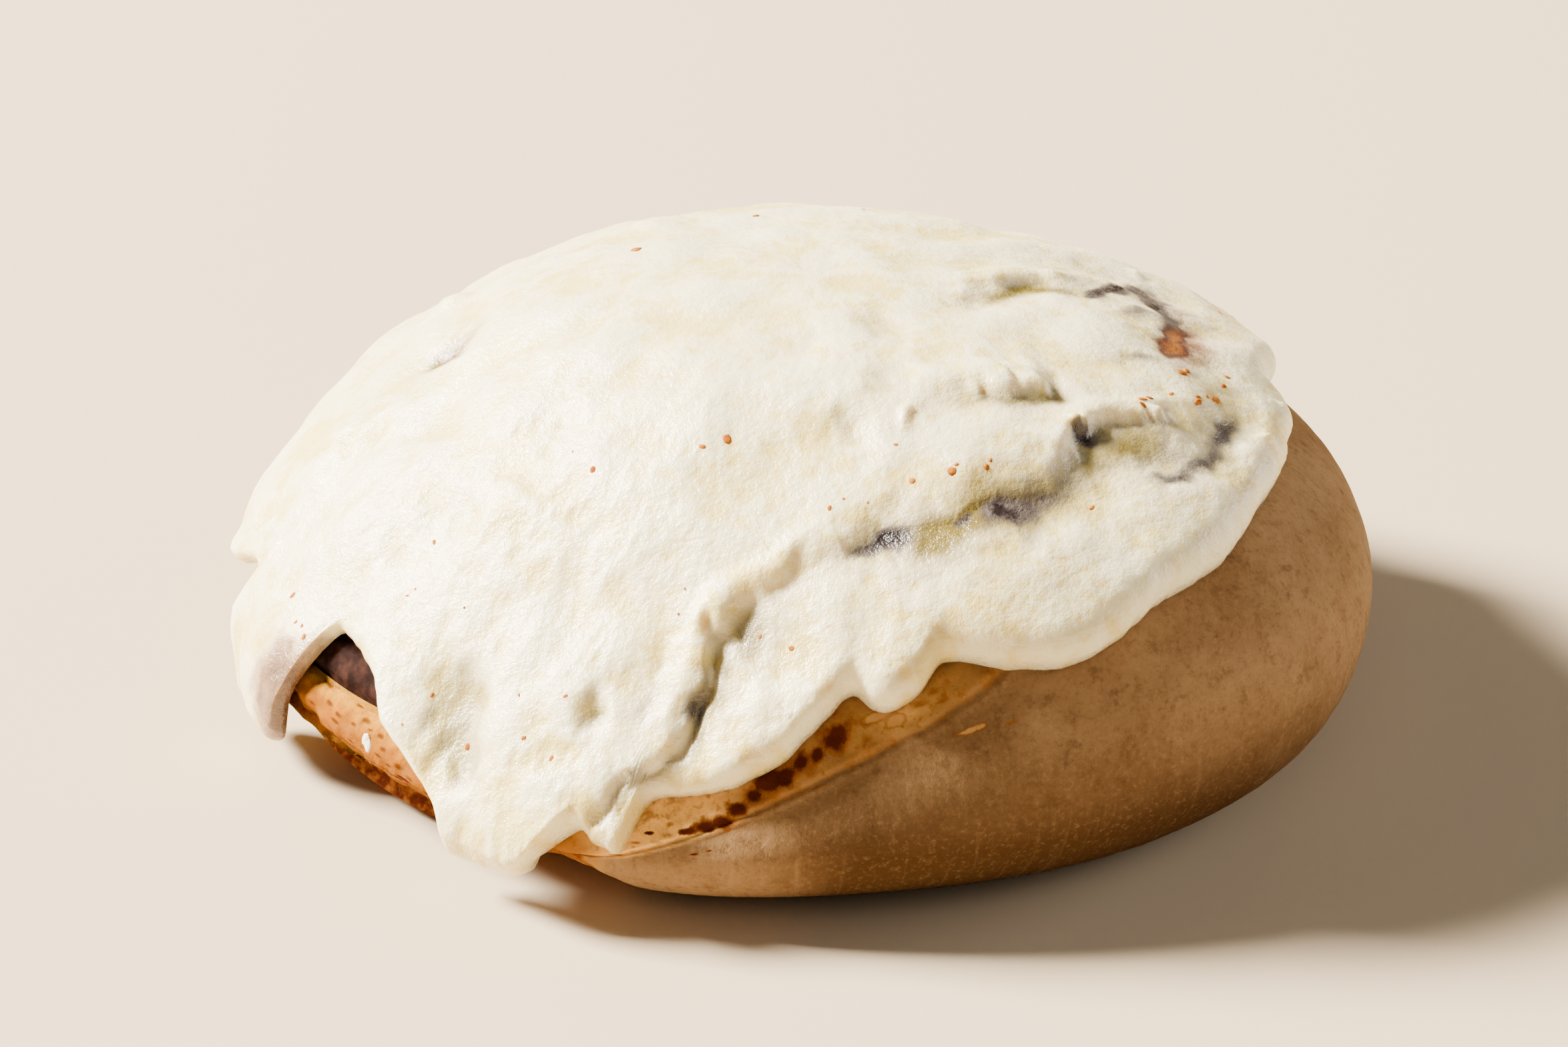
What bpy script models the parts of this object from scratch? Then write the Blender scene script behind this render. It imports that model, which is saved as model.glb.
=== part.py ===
"""A large iced cinnamon roll: one rolled strip of dough, the cinnamon filling between its turns,
and the thick icing that lies over it and runs down its sides.

The roll is worked out in polar form about the eye of its spiral. A direction is an angle in degrees,
0 towards +X and -90 towards -Y, the side that is usually seen. The dough's outer form is one smooth
bun. Its top is followed from the crest outwards by a drape value: 0 at the crest, 1 at the widest
line of the wall, and more straight below that line.
"""
import bpy
import bmesh
import math
from mathutils import Vector

MM = 0.001

# The bun, all sizes in millimetres before they are multiplied by MM.
HALF_LENGTH = 75.0 * MM
HALF_WIDTH = 64.5 * MM
CORNER_POWER = 2.25             # 2 would be an ellipse, more is squarer
CREST_HEIGHT = 53.0 * MM
SHOULDER_POWER = 2.8            # how late the top turns down into the wall
BASE_SHARE = 0.76               # the flat base reaches this share of the outline
BASE_POWER = 2.2                # how round the edge under the bun is
EYE = Vector((1.24, -0.40, 0.0)) * MM   # the spiral's eye, with the box's centre at the origin

# How the bun departs from a plain oval, by direction in degrees.
OUTLINE_SWELL = {-180: -0.004, -172: -0.026, -165: -0.040, -150: -0.058, -130: -0.06,
                 -115: -0.035, -95: -0.008, -60: -0.012, -25: -0.006, 5: -0.025, 30: -0.05, 60: -0.05,
                 100: -0.03, 140: -0.03}
SHOULDER_HEIGHT = {-175: 34, -150: 26, -120: 19, -100: 22, -80: 32, -60: 42, -40: 47, -10: 47,
                   30: 45, 60: 45, 100: 46, 140: 44}
WIDEST_HEIGHT = {-175: 12, -150: 10.5, -120: 7.5, -90: 11, -60: 16, -30: 20, 30: 20, 90: 19,
                 150: 14}

# The rolled strip. It is followed by the degrees that it has turned since its tail, its outer end.
TAIL_DIRECTION = -168.0
STRIP_TURNED = 1408.0           # degrees from the tail to the inner end
STATION_STEP = 8.0              # degrees between two cross-sections
GAP = 2.2 * MM                  # between two turns, where the filling is
EYE_HOLE = 1.1 * MM
LEAST_TURN = 0.6 * MM           # the strip is never thinner than this
DIVE_TURNED = (332.0, 360.0)    # where the strip's outside slips under its own tail
# The middle of the gap inside each turn, as a share of the bun's outline.
GAP_SHARE = {0: 0.95, 18: 0.93, 30: 0.905, 48: 0.84, 68: 0.745, 89: 0.67, 112: 0.665,
             131: 0.68, 150: 0.70, 175: 0.67, 190: 0.66, 230: 0.68, 280: 0.70, 330: 0.71,
             360: 0.69, 385: 0.65, 415: 0.56, 450: 0.47, 480: 0.43, 540: 0.44, 600: 0.45,
             660: 0.45, 720: 0.43, 770: 0.34, 820: 0.25, 900: 0.22, 960: 0.21, 1010: 0.13,
             1060: 0.03, 1100: 0.0}
EDGE_DIP = 2.6 * MM             # how far a turn's top rounds down into the gap
TAIL_DIP = 1.4 * MM             # the same on the thin tail, at its inner side
PROUD_DIP = 1.0 * MM            # and on the turn that stands above the tail
DIP_POWER = 4                   # how late the top rounds down
THIN_TAIL_TURNED = (45.0, 85.0)     # degrees turned, from the thin tail's dip to the usual one
TAIL_LIFT = 7.2 * MM            # the tail's underside stands clear of the floor by this
TAIL_LIFT_TURNED = (36.0, 60.0)

# The points of one cross-section, as shares of each stretch.
BASE_STEPS = (0.0, 0.45, 0.75, 0.93, 1.0)
COVERED_STEPS = (0.0, 0.25, 0.5, 0.75, 0.94)
CROWN_POINTS = 9
CROWN_START = 0.94              # the drape value where the top takes over from the wall
BASE_MARGIN = 0.01              # an inner turn's rounded base is at least this share wide

FILLING_THICKNESS = 1.6 * MM
FILLING_TURNED = (8.0, 1048.0)
FILLING_FOOT = 1.0 * MM
FILLING_LIFT_SHARE = 1.2        # its foot is lifted a little more than the tail's underside
FILLING_BELOW_BUN = 1.2 * MM    # its top edge lies this far under the bun's smooth top

# The icing: the drape value of its edge, with its lobes and drips, by direction.
ICING_EDGE = {-179: 0.875, -177: 0.85, -174.5: 0.80, -172: 0.785, -171: 0.81, -170.2: 0.93,
              -169.4: 1.04, -168: 1.10, -164: 1.10, -160: 1.09, -158: 1.075, -156.4: 1.04,
              -155.6: 0.97, -155.1: 0.87, -154.6: 0.76, -153.8: 0.685, -152: 0.672, -149.5: 0.672,
              -147: 0.685, -144: 0.712, -141: 0.772, -137.5: 0.81, -134.5: 0.855, -132.5: 0.895,
              -130.8: 0.94, -129.8: 0.98, -128.8: 1.04, -127.5: 1.047, -125: 1.045,
              -119.75: 1.03, -118.75: 1.0, -117.5: 0.94, -116: 0.87, -114.6: 0.835,
              -113.6: 0.85, -112.6: 0.885, -111: 0.90, -109.8: 0.91, -108.8: 0.80,
              -107.8: 0.736, -106: 0.714, -104: 0.712, -100: 0.709, -96: 0.688,
              -93: 0.668, -89.5: 0.622, -87: 0.591, -85.5: 0.571, -84: 0.571, -82: 0.605,
              -80.3: 0.621, -78.6: 0.615, -76.4: 0.603, -73.5: 0.564, -70: 0.58, -67: 0.612,
              -64.5: 0.625, -62: 0.642, -59: 0.655, -55.5: 0.646, -52.5: 0.636, -49: 0.612,
              -45: 0.605, -41: 0.603, -38: 0.597, -34: 0.583, -29: 0.562, -21: 0.55, -15: 0.549,
              -11: 0.547, -7: 0.56, -4: 0.55, -2: 0.52, 2: 0.525, 6: 0.545, 14: 0.60, 22: 0.605,
              28: 0.65, 33: 0.76, 38: 0.775, 44: 0.69, 52: 0.645, 62: 0.60, 70: 0.665, 77: 0.78,
              83: 0.90, 88: 0.86, 93: 0.72, 104: 0.665, 114: 0.70, 122: 0.87, 128: 0.93,
              134: 0.88, 140: 0.745, 150: 0.79, 160: 0.76, 168: 0.755, 173: 0.81, 177: 0.875}
MEAN_REACH = 0.6
# Its thickness near the edge in millimetres, by direction.
ICING_THICKNESS = {-178: 2.0, -171: 1.6, -163: 2.2, -152: 2.0, -143: 2.6, -133: 3.2, -122: 4.4,
                   -105: 4.8, -80: 4.8, -55: 5.2, -30: 5.2, 0: 4.6, 40: 4.0, 90: 3.8, 130: 3.4}
CREST_THICKNESS = 5.0 * MM
CREST_DRAPE = 0.45              # from here outwards the thickness near the edge counts
ICING_CLEARANCE = 0.5 * MM      # between the icing's underside and the bun
STEEP_CLEARANCE = 2.6 * MM      # more of it for each unit that the reach changes across a segment
LONG_CLEARANCE = 1.0 * MM       # and for each unit that it is longer than the mean reach
ROUNDING_SHARE = 1.2            # the edge rounds over within this many thicknesses
ICING_EDGE_ROWS = (1.0, 0.57, 0.25, 0.07)   # shares of the rounding, counted from the edge
ICING_TOP_ROWS = 10
ROW_SPREAD = 1.25               # more than 1 draws the rows together at the crest
ICING_SEGMENTS = 120
SEGMENT_TURN = 360.0 / ICING_SEGMENTS
DRAPE_LENGTH = 82.0 * MM        # from the crest to the widest line, along the surface
LUMP_HEIGHT = 0.5 * MM
LUMP_WAVES = (7.5 * MM, 6.4 * MM)       # short crossed waves, along X and along Y
LUMP_SHIFTS = (1.3, -0.4)
SWELL_WAVES = (13.0 * MM, 17.0 * MM)    # longer ones, aslant

# Furrows in the icing: points as (direction, drape value), depth and half width in mm.
FURROWS = [
    ([(-114, 0.85), (-109, 0.714), (-104, 0.611), (-102.6, 0.50), (-98.5, 0.44), (-90.5, 0.40),
      (-78.5, 0.366), (-65.8, 0.386), (-55.5, 0.38), (-47.2, 0.36), (-41, 0.335), (-33, 0.36)],
     2.4, 3.6),
    ([(-39, 0.43), (-30.8, 0.447), (-20, 0.452)], 2.2, 3.0),
    ([(27, 0.21), (21, 0.29), (16, 0.352), (2, 0.35), (-11, 0.335)], 3.2, 3.0),
    ([(-76, 0.213), (-60, 0.226), (-47.5, 0.25), (-38, 0.235)], 1.1, 3.6),
    ([(-10, 0.115), (-1, 0.15), (5, 0.21)], 1.4, 3.6),
]

SKIN_COLOR = (0.46, 0.25, 0.11)
SKIN_ROUGHNESS = 0.6
FILLING_COLOR = (0.07, 0.03, 0.02)
FILLING_ROUGHNESS = 0.3
ICING_COLOR = (0.87, 0.83, 0.72)
ICING_ROUGHNESS = 0.45
HARD_EDGE = 50.0                # degrees between two faces


def remove_everything():
    for thing in list(bpy.data.objects):
        bpy.data.objects.remove(thing, do_unlink=True)


def smooth(value):
    """A soft step from 0 to 1."""
    value = min(max(value, 0.0), 1.0)
    return value * value * (3.0 - 2.0 * value)


def curve_through(keys, values, at):
    """The value at one place on a smooth curve through the table's points."""
    spot = 1
    while spot < len(keys) - 3 and at >= keys[spot + 1]:
        spot += 1
    step = keys[spot + 1] - keys[spot]
    share = (at - keys[spot]) / step
    leave = (values[spot + 1] - values[spot - 1]) / (keys[spot + 1] - keys[spot - 1]) * step
    arrive = (values[spot + 2] - values[spot]) / (keys[spot + 2] - keys[spot]) * step
    square, cube = share ** 2, share ** 3
    return ((2 * cube - 3 * square + 1) * values[spot] + (cube - 2 * square + share) * leave
            + (3 * square - 2 * cube) * values[spot + 1] + (cube - square) * arrive)


def around(table, direction):
    """A table that closes on itself after 360 degrees, read in one direction."""
    keys = sorted(table)
    direction = (direction - keys[0]) % 360.0 + keys[0]
    before = [keys[-2] - 360.0, keys[-1] - 360.0]
    after = [keys[0] + 360.0, keys[1] + 360.0]
    values = [table[key] for key in keys[-2:] + keys + keys[:2]]
    return curve_through(before + keys + after, values, direction)


def along(table, turned):
    """A table along the strip, read after so many degrees."""
    keys = sorted(table)
    values = [table[key] for key in keys]
    ends = [keys[0] - 10.0] + keys + [keys[-1] + 400.0, keys[-1] + 800.0]
    return curve_through(ends, values[:1] + values + values[-1:] * 2, turned)


def outline(direction):
    """The bun's radius at its widest line."""
    turn = math.radians(direction)
    sides = (abs(math.cos(turn)) / HALF_LENGTH, abs(math.sin(turn)) / HALF_WIDTH)
    radius = sum(side ** CORNER_POWER for side in sides) ** (-1.0 / CORNER_POWER)
    return radius * (1.0 + around(OUTLINE_SWELL, direction))


def top_height(share, direction):
    """The bun's top at a share of its outline."""
    widest = around(WIDEST_HEIGHT, direction) * MM
    dome = CREST_HEIGHT + (around(SHOULDER_HEIGHT, direction) * MM - CREST_HEIGHT) * share ** 2
    return widest + (dome - widest) * math.sqrt(max(0.0, 1.0 - share ** SHOULDER_POWER))


def base_height(share, direction):
    """The rounded edge under the bun: 0 on the flat base, then up to the widest line."""
    out = min(max((share - BASE_SHARE) / (1.0 - BASE_SHARE), 0.0), 1.0)
    return around(WIDEST_HEIGHT, direction) * MM * (1.0 - math.sqrt(max(0.0, 1.0 - out ** BASE_POWER)))


def drape_share(drape):
    return math.sin(min(drape, 1.0) * math.pi / 2.0) ** (2.0 / SHOULDER_POWER)


def drape_profile(drape, direction):
    """Radius and height on the bun's surface, down to the widest line and straight on below it."""
    share = drape_share(drape)
    if drape <= 1.0:
        height = top_height(share, direction)
    else:
        height = around(WIDEST_HEIGHT, direction) * MM - (drape - 1.0) * DRAPE_LENGTH
    return outline(direction) * share, height


def lifted(drape, direction, lift):
    """The profile point moved out from the bun's surface."""
    step = 0.01
    radius, height = drape_profile(drape, direction)
    radius_in, height_in = drape_profile(max(drape - step, 0.0), direction)
    radius_out, height_out = drape_profile(drape + step, direction)
    run, drop = radius_out - radius_in, height_out - height_in
    length = math.hypot(run, drop)
    return radius - drop / length * lift, height + run / length * lift


def place(radius, direction, height):
    turn = math.radians(direction)
    return Vector((radius * math.cos(turn), radius * math.sin(turn), height)) + EYE


def gap_middle(turned):
    """The middle of the gap inside the strip: its share of the outline."""
    return along(GAP_SHARE, turned)


def thin_tail(turned):
    """1 along the thin tail, 0 from there on."""
    first, last = THIN_TAIL_TURNED
    return 1.0 - smooth((turned - first) / (last - first))


def tail_lift(turned):
    """How far the underside is lifted, all of it along the tail and nothing from there on."""
    first, last = TAIL_LIFT_TURNED
    return TAIL_LIFT * (1.0 - smooth((turned - first) / (last - first)))


def strip_section(turned):
    """One closed cross-section of the strip, as (radius, height) points from the base outwards."""
    direction = TAIL_DIRECTION + turned
    rim = outline(direction)
    inner = max(gap_middle(turned) * rim + GAP / 2.0, EYE_HOLE)
    inner_share = inner / rim
    inner_dip = EDGE_DIP + (TAIL_DIP - EDGE_DIP) * thin_tail(turned)
    corner = top_height(inner_share, direction) - inner_dip
    crown = [number / (CROWN_POINTS - 1) for number in range(CROWN_POINTS)]

    widest = around(WIDEST_HEIGHT, direction) * MM
    base_start = max(BASE_SHARE, inner_share + BASE_MARGIN)
    outside = []
    for step in BASE_STEPS:
        share = base_start + (1.0 - base_start) * step
        height = base_height(share, direction)
        outside.append((rim * share, height + tail_lift(turned) * (1.0 - height / widest)))
    inner_drape = 2.0 / math.pi * math.asin(min(inner_share, 1.0) ** (SHOULDER_POWER / 2.0))
    for step in crown:
        radius, height = drape_profile(CROWN_START + (inner_drape - CROWN_START) * step, direction)
        outside.append((radius, height - inner_dip * step ** DIP_POWER))

    last_turn = max(turned - 360.0, 0.0)
    outer = max(gap_middle(last_turn) * rim - GAP / 2.0, inner + LEAST_TURN)
    outer_dip = EDGE_DIP + (PROUD_DIP - EDGE_DIP) * thin_tail(last_turn)
    edge = top_height(outer / rim, direction) - outer_dip
    foot = base_height(outer / rim, direction)
    covered = [(outer, foot + (edge - foot) * step) for step in COVERED_STEPS]
    for step in crown:
        radius = outer + (inner - outer) * step
        dip = outer_dip * (1.0 - step) ** DIP_POWER + inner_dip * step ** DIP_POWER
        covered.append((radius, top_height(radius / rim, direction) - dip))

    first, last = DIVE_TURNED
    under = smooth((turned - first) / (last - first))
    section = [(inner, base_height(inner_share, direction) + tail_lift(turned))]
    for free, hidden in zip(outside, covered):
        section.append(tuple(a + (b - a) * under for a, b in zip(free, hidden)))
    section[-1] = (inner, corner)
    return section


def filling_section(turned):
    """The thin band of filling in the gap, standing a little lower than the bun's top."""
    direction = TAIL_DIRECTION + turned
    rim = outline(direction)
    middle = max(gap_middle(turned) * rim, EYE_HOLE + GAP / 2.0)
    foot = FILLING_FOOT + base_height(middle / rim, direction)
    foot += FILLING_LIFT_SHARE * tail_lift(turned)
    top = top_height(middle / rim, direction) - FILLING_BELOW_BUN
    half = FILLING_THICKNESS / 2.0
    return [(middle - half, foot), (middle + half, foot), (middle + half, top), (middle - half, top)]


def loft(name, sections, color, roughness):
    """A closed body through cross-sections, each a direction and its (radius, height) points."""
    mesh = bpy.data.meshes.new(name)
    form = bmesh.new()
    rings = []
    for direction, points in sections:
        rings.append([form.verts.new(place(radius, direction, height)) for radius, height in points])
    count = len(rings[0])
    for ring, following in zip(rings, rings[1:]):
        for spot in range(count):
            beside = (spot + 1) % count
            form.faces.new((ring[spot], following[spot], following[beside], ring[beside]))
    form.faces.new(rings[0])
    form.faces.new(list(reversed(rings[-1])))
    bmesh.ops.recalc_face_normals(form, faces=form.faces)
    form.to_mesh(mesh)
    form.free()
    return finished(name, mesh, color, roughness)


def finished(name, mesh, color, roughness):
    """The object with its material, shaded smooth except at hard edges."""
    piece = bpy.data.objects.new(name, mesh)
    material = bpy.data.materials.new(name + "_surface")
    material.use_nodes = True
    surface = material.node_tree.nodes["Principled BSDF"]
    surface.inputs["Base Color"].default_value = (*color, 1.0)
    surface.inputs["Roughness"].default_value = roughness
    surface.inputs["Metallic"].default_value = 0.0
    mesh.materials.append(material)
    mesh.shade_smooth()
    mesh.set_sharp_from_angle(angle=math.radians(HARD_EDGE))
    return piece


def stations(first, last):
    count = round((last - first) / STATION_STEP)
    return [first + STATION_STEP * number for number in range(count + 1)]


def make_dough():
    sections = [(TAIL_DIRECTION + turned, strip_section(turned))
                for turned in stations(0.0, STRIP_TURNED)]
    return loft("dough", sections, SKIN_COLOR, SKIN_ROUGHNESS)


def make_filling():
    sections = [(TAIL_DIRECTION + turned, filling_section(turned))
                for turned in stations(*FILLING_TURNED)]
    return loft("filling", sections, FILLING_COLOR, FILLING_ROUGHNESS)


def icing_reach(direction):
    """How far down the drape the icing runs in one direction."""
    return around(ICING_EDGE, direction)


def edge_rounding(direction):
    """The distance within which the icing's edge rounds over."""
    return ROUNDING_SHARE * around(ICING_THICKNESS, direction) * MM


def distance_to_path(x, y, path):
    """The shortest distance in plan to a run of points."""
    nearest = 1.0
    for (ax, ay), (bx, by) in zip(path, path[1:]):
        length = (bx - ax) ** 2 + (by - ay) ** 2
        share = min(max(((x - ax) * (bx - ax) + (y - ay) * (by - ay)) / length, 0.0), 1.0)
        nearest = min(nearest, math.hypot(x - ax - (bx - ax) * share, y - ay - (by - ay) * share))
    return nearest


def furrow_paths():
    """The furrows in plan, each with its depth and half width in metres."""
    paths = []
    for points, depth, half_width in FURROWS:
        plan = [(outline(direction) * drape_share(drape) * math.cos(math.radians(direction)),
                 outline(direction) * drape_share(drape) * math.sin(math.radians(direction)))
                for direction, drape in points]
        paths.append((plan, depth * MM, half_width * MM))
    return paths


def icing_thickness(drape, direction, reach, paths):
    """The icing's thickness: full on top, rounded at its edge, with lumps and furrows."""
    to_edge = (reach - drape) * DRAPE_LENGTH
    rounding = min(to_edge / edge_rounding(direction), 1.0)
    radius = outline(direction) * drape_share(drape)
    x, y = radius * math.cos(math.radians(direction)), radius * math.sin(math.radians(direction))
    edge_thickness = around(ICING_THICKNESS, direction) * MM
    full = CREST_THICKNESS + (edge_thickness - CREST_THICKNESS) * smooth(drape / CREST_DRAPE)
    across, away = x / LUMP_WAVES[0] + LUMP_SHIFTS[0], y / LUMP_WAVES[1] + LUMP_SHIFTS[1]
    full += LUMP_HEIGHT * math.sin(across) * math.sin(away)
    across, away = (x + y) / SWELL_WAVES[0], (x - 2.0 * y) / SWELL_WAVES[1]
    full += LUMP_HEIGHT * math.sin(across) * math.cos(away)
    for plan, depth, half_width in paths:
        full -= depth * math.exp(-(distance_to_path(x, y, plan) / half_width) ** 2)
    return full * math.sqrt(1.0 - (1.0 - rounding) ** 2)


def make_icing():
    """A sphere's rings reshaped: the upper half is the icing's outside, the lower its underside."""
    half_rings = ICING_TOP_ROWS + len(ICING_EDGE_ROWS)
    paths = furrow_paths()
    mesh = bpy.data.meshes.new("icing")
    form = bmesh.new()
    bmesh.ops.create_uvsphere(form, u_segments=ICING_SEGMENTS, v_segments=2 * half_rings, radius=1.0)
    for vert in form.verts:
        direction = math.degrees(math.atan2(vert.co.y, vert.co.x))
        ring = round(math.acos(min(max(vert.co.z, -1.0), 1.0)) / math.pi * 2 * half_rings)
        outside = ring <= half_rings
        ring = min(ring, 2 * half_rings - ring)
        reach = icing_reach(direction)
        rounding = edge_rounding(direction) / DRAPE_LENGTH
        inner_reach = reach - rounding
        outward = min(ring / ICING_TOP_ROWS, 1.0)
        if ring < ICING_TOP_ROWS:
            full = MEAN_REACH + (inner_reach - MEAN_REACH) * outward ** 2
            drape = full * outward ** ROW_SPREAD
        elif ring < half_rings:
            drape = reach - ICING_EDGE_ROWS[ring - ICING_TOP_ROWS] * rounding
        else:
            drape = reach
        if ring == 0:
            direction = 0.0
        change = icing_reach(direction + SEGMENT_TURN) - icing_reach(direction - SEGMENT_TURN)
        lift = ICING_CLEARANCE + STEEP_CLEARANCE * abs(change) * outward ** 3
        lift += LONG_CLEARANCE * max(reach - MEAN_REACH, 0.0) * outward
        if outside:
            lift += icing_thickness(drape, direction, reach, paths)
        if ring == 0:
            vert.co = place(0.0, 0.0, CREST_HEIGHT + lift)
        else:
            radius, height = lifted(drape, direction, lift)
            vert.co = place(radius, direction, height)
    bmesh.ops.recalc_face_normals(form, faces=form.faces)
    form.to_mesh(mesh)
    form.free()
    return finished("icing", mesh, ICING_COLOR, ICING_ROUGHNESS)


def main():
    remove_everything()
    roll = bpy.data.collections.new("cinnamon_roll")
    bpy.context.scene.collection.children.link(roll)
    for piece in (make_dough(), make_filling(), make_icing()):
        roll.objects.link(piece)


main()
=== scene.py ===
# %% [markdown]
# # An iced cinnamon roll
#
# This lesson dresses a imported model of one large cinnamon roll. The real thing is a strip of soft
# dough spread with cinnamon paste, rolled up, baked, and covered with icing while it is warm, so
# that the icing creeps down the sides.
#
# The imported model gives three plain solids: dough, filling and icing. They have the right form and
# size but few faces. Each is replaced here by a fine mesh that is worked out from the same named
# sizes, so that nothing has to be fitted by eye.

# %% Load the frame
import bmesh
import bpy
import math
import random
import numpy as np
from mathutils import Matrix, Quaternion, Vector, noise


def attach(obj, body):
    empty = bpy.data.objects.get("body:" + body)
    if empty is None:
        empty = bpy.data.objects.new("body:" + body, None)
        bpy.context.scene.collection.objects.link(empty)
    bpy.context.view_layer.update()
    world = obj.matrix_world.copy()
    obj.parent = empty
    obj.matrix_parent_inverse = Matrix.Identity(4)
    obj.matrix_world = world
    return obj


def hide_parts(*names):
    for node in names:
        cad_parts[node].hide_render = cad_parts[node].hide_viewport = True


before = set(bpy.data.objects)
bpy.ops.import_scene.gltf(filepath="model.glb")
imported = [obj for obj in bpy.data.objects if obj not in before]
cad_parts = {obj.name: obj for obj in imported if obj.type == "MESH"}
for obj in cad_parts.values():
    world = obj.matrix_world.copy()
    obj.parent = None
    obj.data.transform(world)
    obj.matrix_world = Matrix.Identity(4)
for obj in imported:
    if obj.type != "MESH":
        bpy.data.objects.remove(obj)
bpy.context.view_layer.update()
MM = 0.001

# %% [markdown]
# ## The camera
#
# The roll was photographed from a little above, with a long lens. The spiral's eye, where the strip
# ends inside the roll, is the point from which everything is measured, so the camera aims at a point
# given from there. An empty with a Track To constraint would also aim the camera, but a direction
# turned into a rotation leaves nothing behind in the scene.

# %% Camera at the photograph's angle
EYE = Vector((1.24, -0.40, 0.0)) * MM
AIM = EYE + Vector((-2.9, 12.0, 15.8)) * MM
ELEVATION = math.radians(27.8)
LENS_TILT = math.radians(0.4)
DISTANCE = 0.5

lens = bpy.data.cameras.new("camera")
lens.lens = 85.0
lens.sensor_width = 36.0
camera = bpy.data.objects.new("camera", lens)
bpy.context.scene.collection.objects.link(camera)
camera.location = AIM + Vector((0.0, -math.cos(ELEVATION), math.sin(ELEVATION))) * DISTANCE
facing = (AIM - camera.location).to_track_quat("-Z", "Y")
camera.rotation_euler = facing.to_euler()
camera.rotation_euler.rotate_axis("Z", LENS_TILT)
bpy.context.scene.camera = camera
print("camera at", tuple(round(value, 3) for value in camera.location))

# %% [markdown]
# ## Light and floor
#
# Icing shows its form only under light from one side: straight light makes it a white patch. A
# large soft lamp stands at the left, a little behind, and gives the long shadow to the right. It is
# far away, so that it is as strong on the floor behind the roll as in front. Very little light fills
# the shadows: a broad low glow from the right, a weak lamp in front, and a dim warm world.

# %% A helper for soft lamps
def add_lamp(name, direction, height, distance, size, watts, color):
    """A square soft lamp, placed by its compass direction and height angle, aimed at the roll."""
    data = bpy.data.lights.new(name, "AREA")
    data.shape = "SQUARE"
    data.size = size
    data.energy = watts
    data.color = color
    lamp = bpy.data.objects.new(name, data)
    bpy.context.scene.collection.objects.link(lamp)
    turn, rise = math.radians(direction), math.radians(height)
    aim = Vector((0.0, 0.0, 0.03))
    away = Vector((math.cos(turn) * math.cos(rise), math.sin(turn) * math.cos(rise), math.sin(rise)))
    lamp.location = aim + away * distance
    lamp.rotation_euler = (-away).to_track_quat("-Z", "Y").to_euler()
    print(name, "at", tuple(round(value, 2) for value in lamp.location), "m")

# %% Three lamps and the world
add_lamp("key_lamp", direction=163, height=36, distance=3.0, size=0.8, watts=900.0,
         color=(1.0, 0.91, 0.78))
add_lamp("right_glow", direction=12, height=14, distance=3.0, size=2.0, watts=86.0,
         color=(1.0, 0.95, 0.91))
add_lamp("front_fill", direction=-90, height=45, distance=3.0, size=2.0, watts=10.0,
         color=(1.0, 0.92, 0.82))
world = bpy.data.worlds.new("pale_room")
world.use_nodes = True
sky = world.node_tree.nodes["Background"]
sky.inputs["Color"].default_value = (1.0, 0.84, 0.66, 1.0)
sky.inputs["Strength"].default_value = 0.08
bpy.context.scene.world = world

# %% Floor
FLOOR_DROP = 0.2 * MM           # a hair below the roll, so that the two faces don't fight

bpy.ops.mesh.primitive_plane_add(size=6.0, location=(0.0, 0.0, -FLOOR_DROP))
floor = bpy.context.active_object
floor.name = "floor"
floor_paint = bpy.data.materials.new("pale_floor")
floor_paint.use_nodes = True
floor_surface = floor_paint.node_tree.nodes["Principled BSDF"]
floor_surface.inputs["Base Color"].default_value = (0.60, 0.485, 0.335, 1.0)
floor_surface.inputs["Roughness"].default_value = 0.6
floor.data.materials.append(floor_paint)
print("floor", round(floor.dimensions.x, 1), "m wide")

# %% [markdown]
# ## The form of the bun
#
# A baked roll is a flattish bun: an uneven oval from above, domed, with a soft shoulder, a wall that
# bulges and a rounded edge underneath. It could be sculpted, or subdivided from a coarse cage. Here
# it is a function instead, because three meshes have to follow it closely: the dough, the filling and
# the underside of the icing.
#
# Directions are degrees around the eye, with 0 to the right and -90 towards the camera. A table gives
# a value in some directions, and a smooth curve through it gives the rest.

# %% Reading a table smoothly
def through_points(keys, values, at):
    """Values on a smooth curve through a table's points, for many places at once."""
    keys, values = np.array(keys, float), np.array(values, float)
    spot = np.clip(np.searchsorted(keys, at, side="right") - 1, 1, len(keys) - 3)
    step = keys[spot + 1] - keys[spot]
    share = (at - keys[spot]) / step
    leave = (values[spot + 1] - values[spot - 1]) / (keys[spot + 1] - keys[spot - 1]) * step
    arrive = (values[spot + 2] - values[spot]) / (keys[spot + 2] - keys[spot]) * step
    square, cube = share ** 2, share ** 3
    return ((2 * cube - 3 * square + 1) * values[spot] + (cube - 2 * square + share) * leave
            + (3 * square - 2 * cube) * values[spot + 1] + (cube - square) * arrive)


def around(table, direction):
    """A table that closes on itself after 360 degrees."""
    keys = sorted(table)
    direction = np.mod(np.asarray(direction, float) - keys[0], 360.0) + keys[0]
    wide = [keys[-2] - 360.0, keys[-1] - 360.0] + keys + [keys[0] + 360.0, keys[1] + 360.0]
    return through_points(wide, [table[key] for key in keys[-2:] + keys + keys[:2]], direction)


def along(table, turned):
    """A table along the rolled strip, by the degrees turned since its tail."""
    keys = sorted(table)
    values = [table[key] for key in keys]
    wide = [keys[0] - 10.0] + keys + [keys[-1] + 400.0, keys[-1] + 800.0]
    return through_points(wide, values[:1] + values + values[-1:] * 2, np.asarray(turned, float))


def smooth(value, first=0.0, last=1.0):
    """A soft step from 0 at the first value to 1 at the last one."""
    share = np.clip((value - first) / (last - first), 0.0, 1.0)
    return share * share * (3.0 - 2.0 * share)


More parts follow.
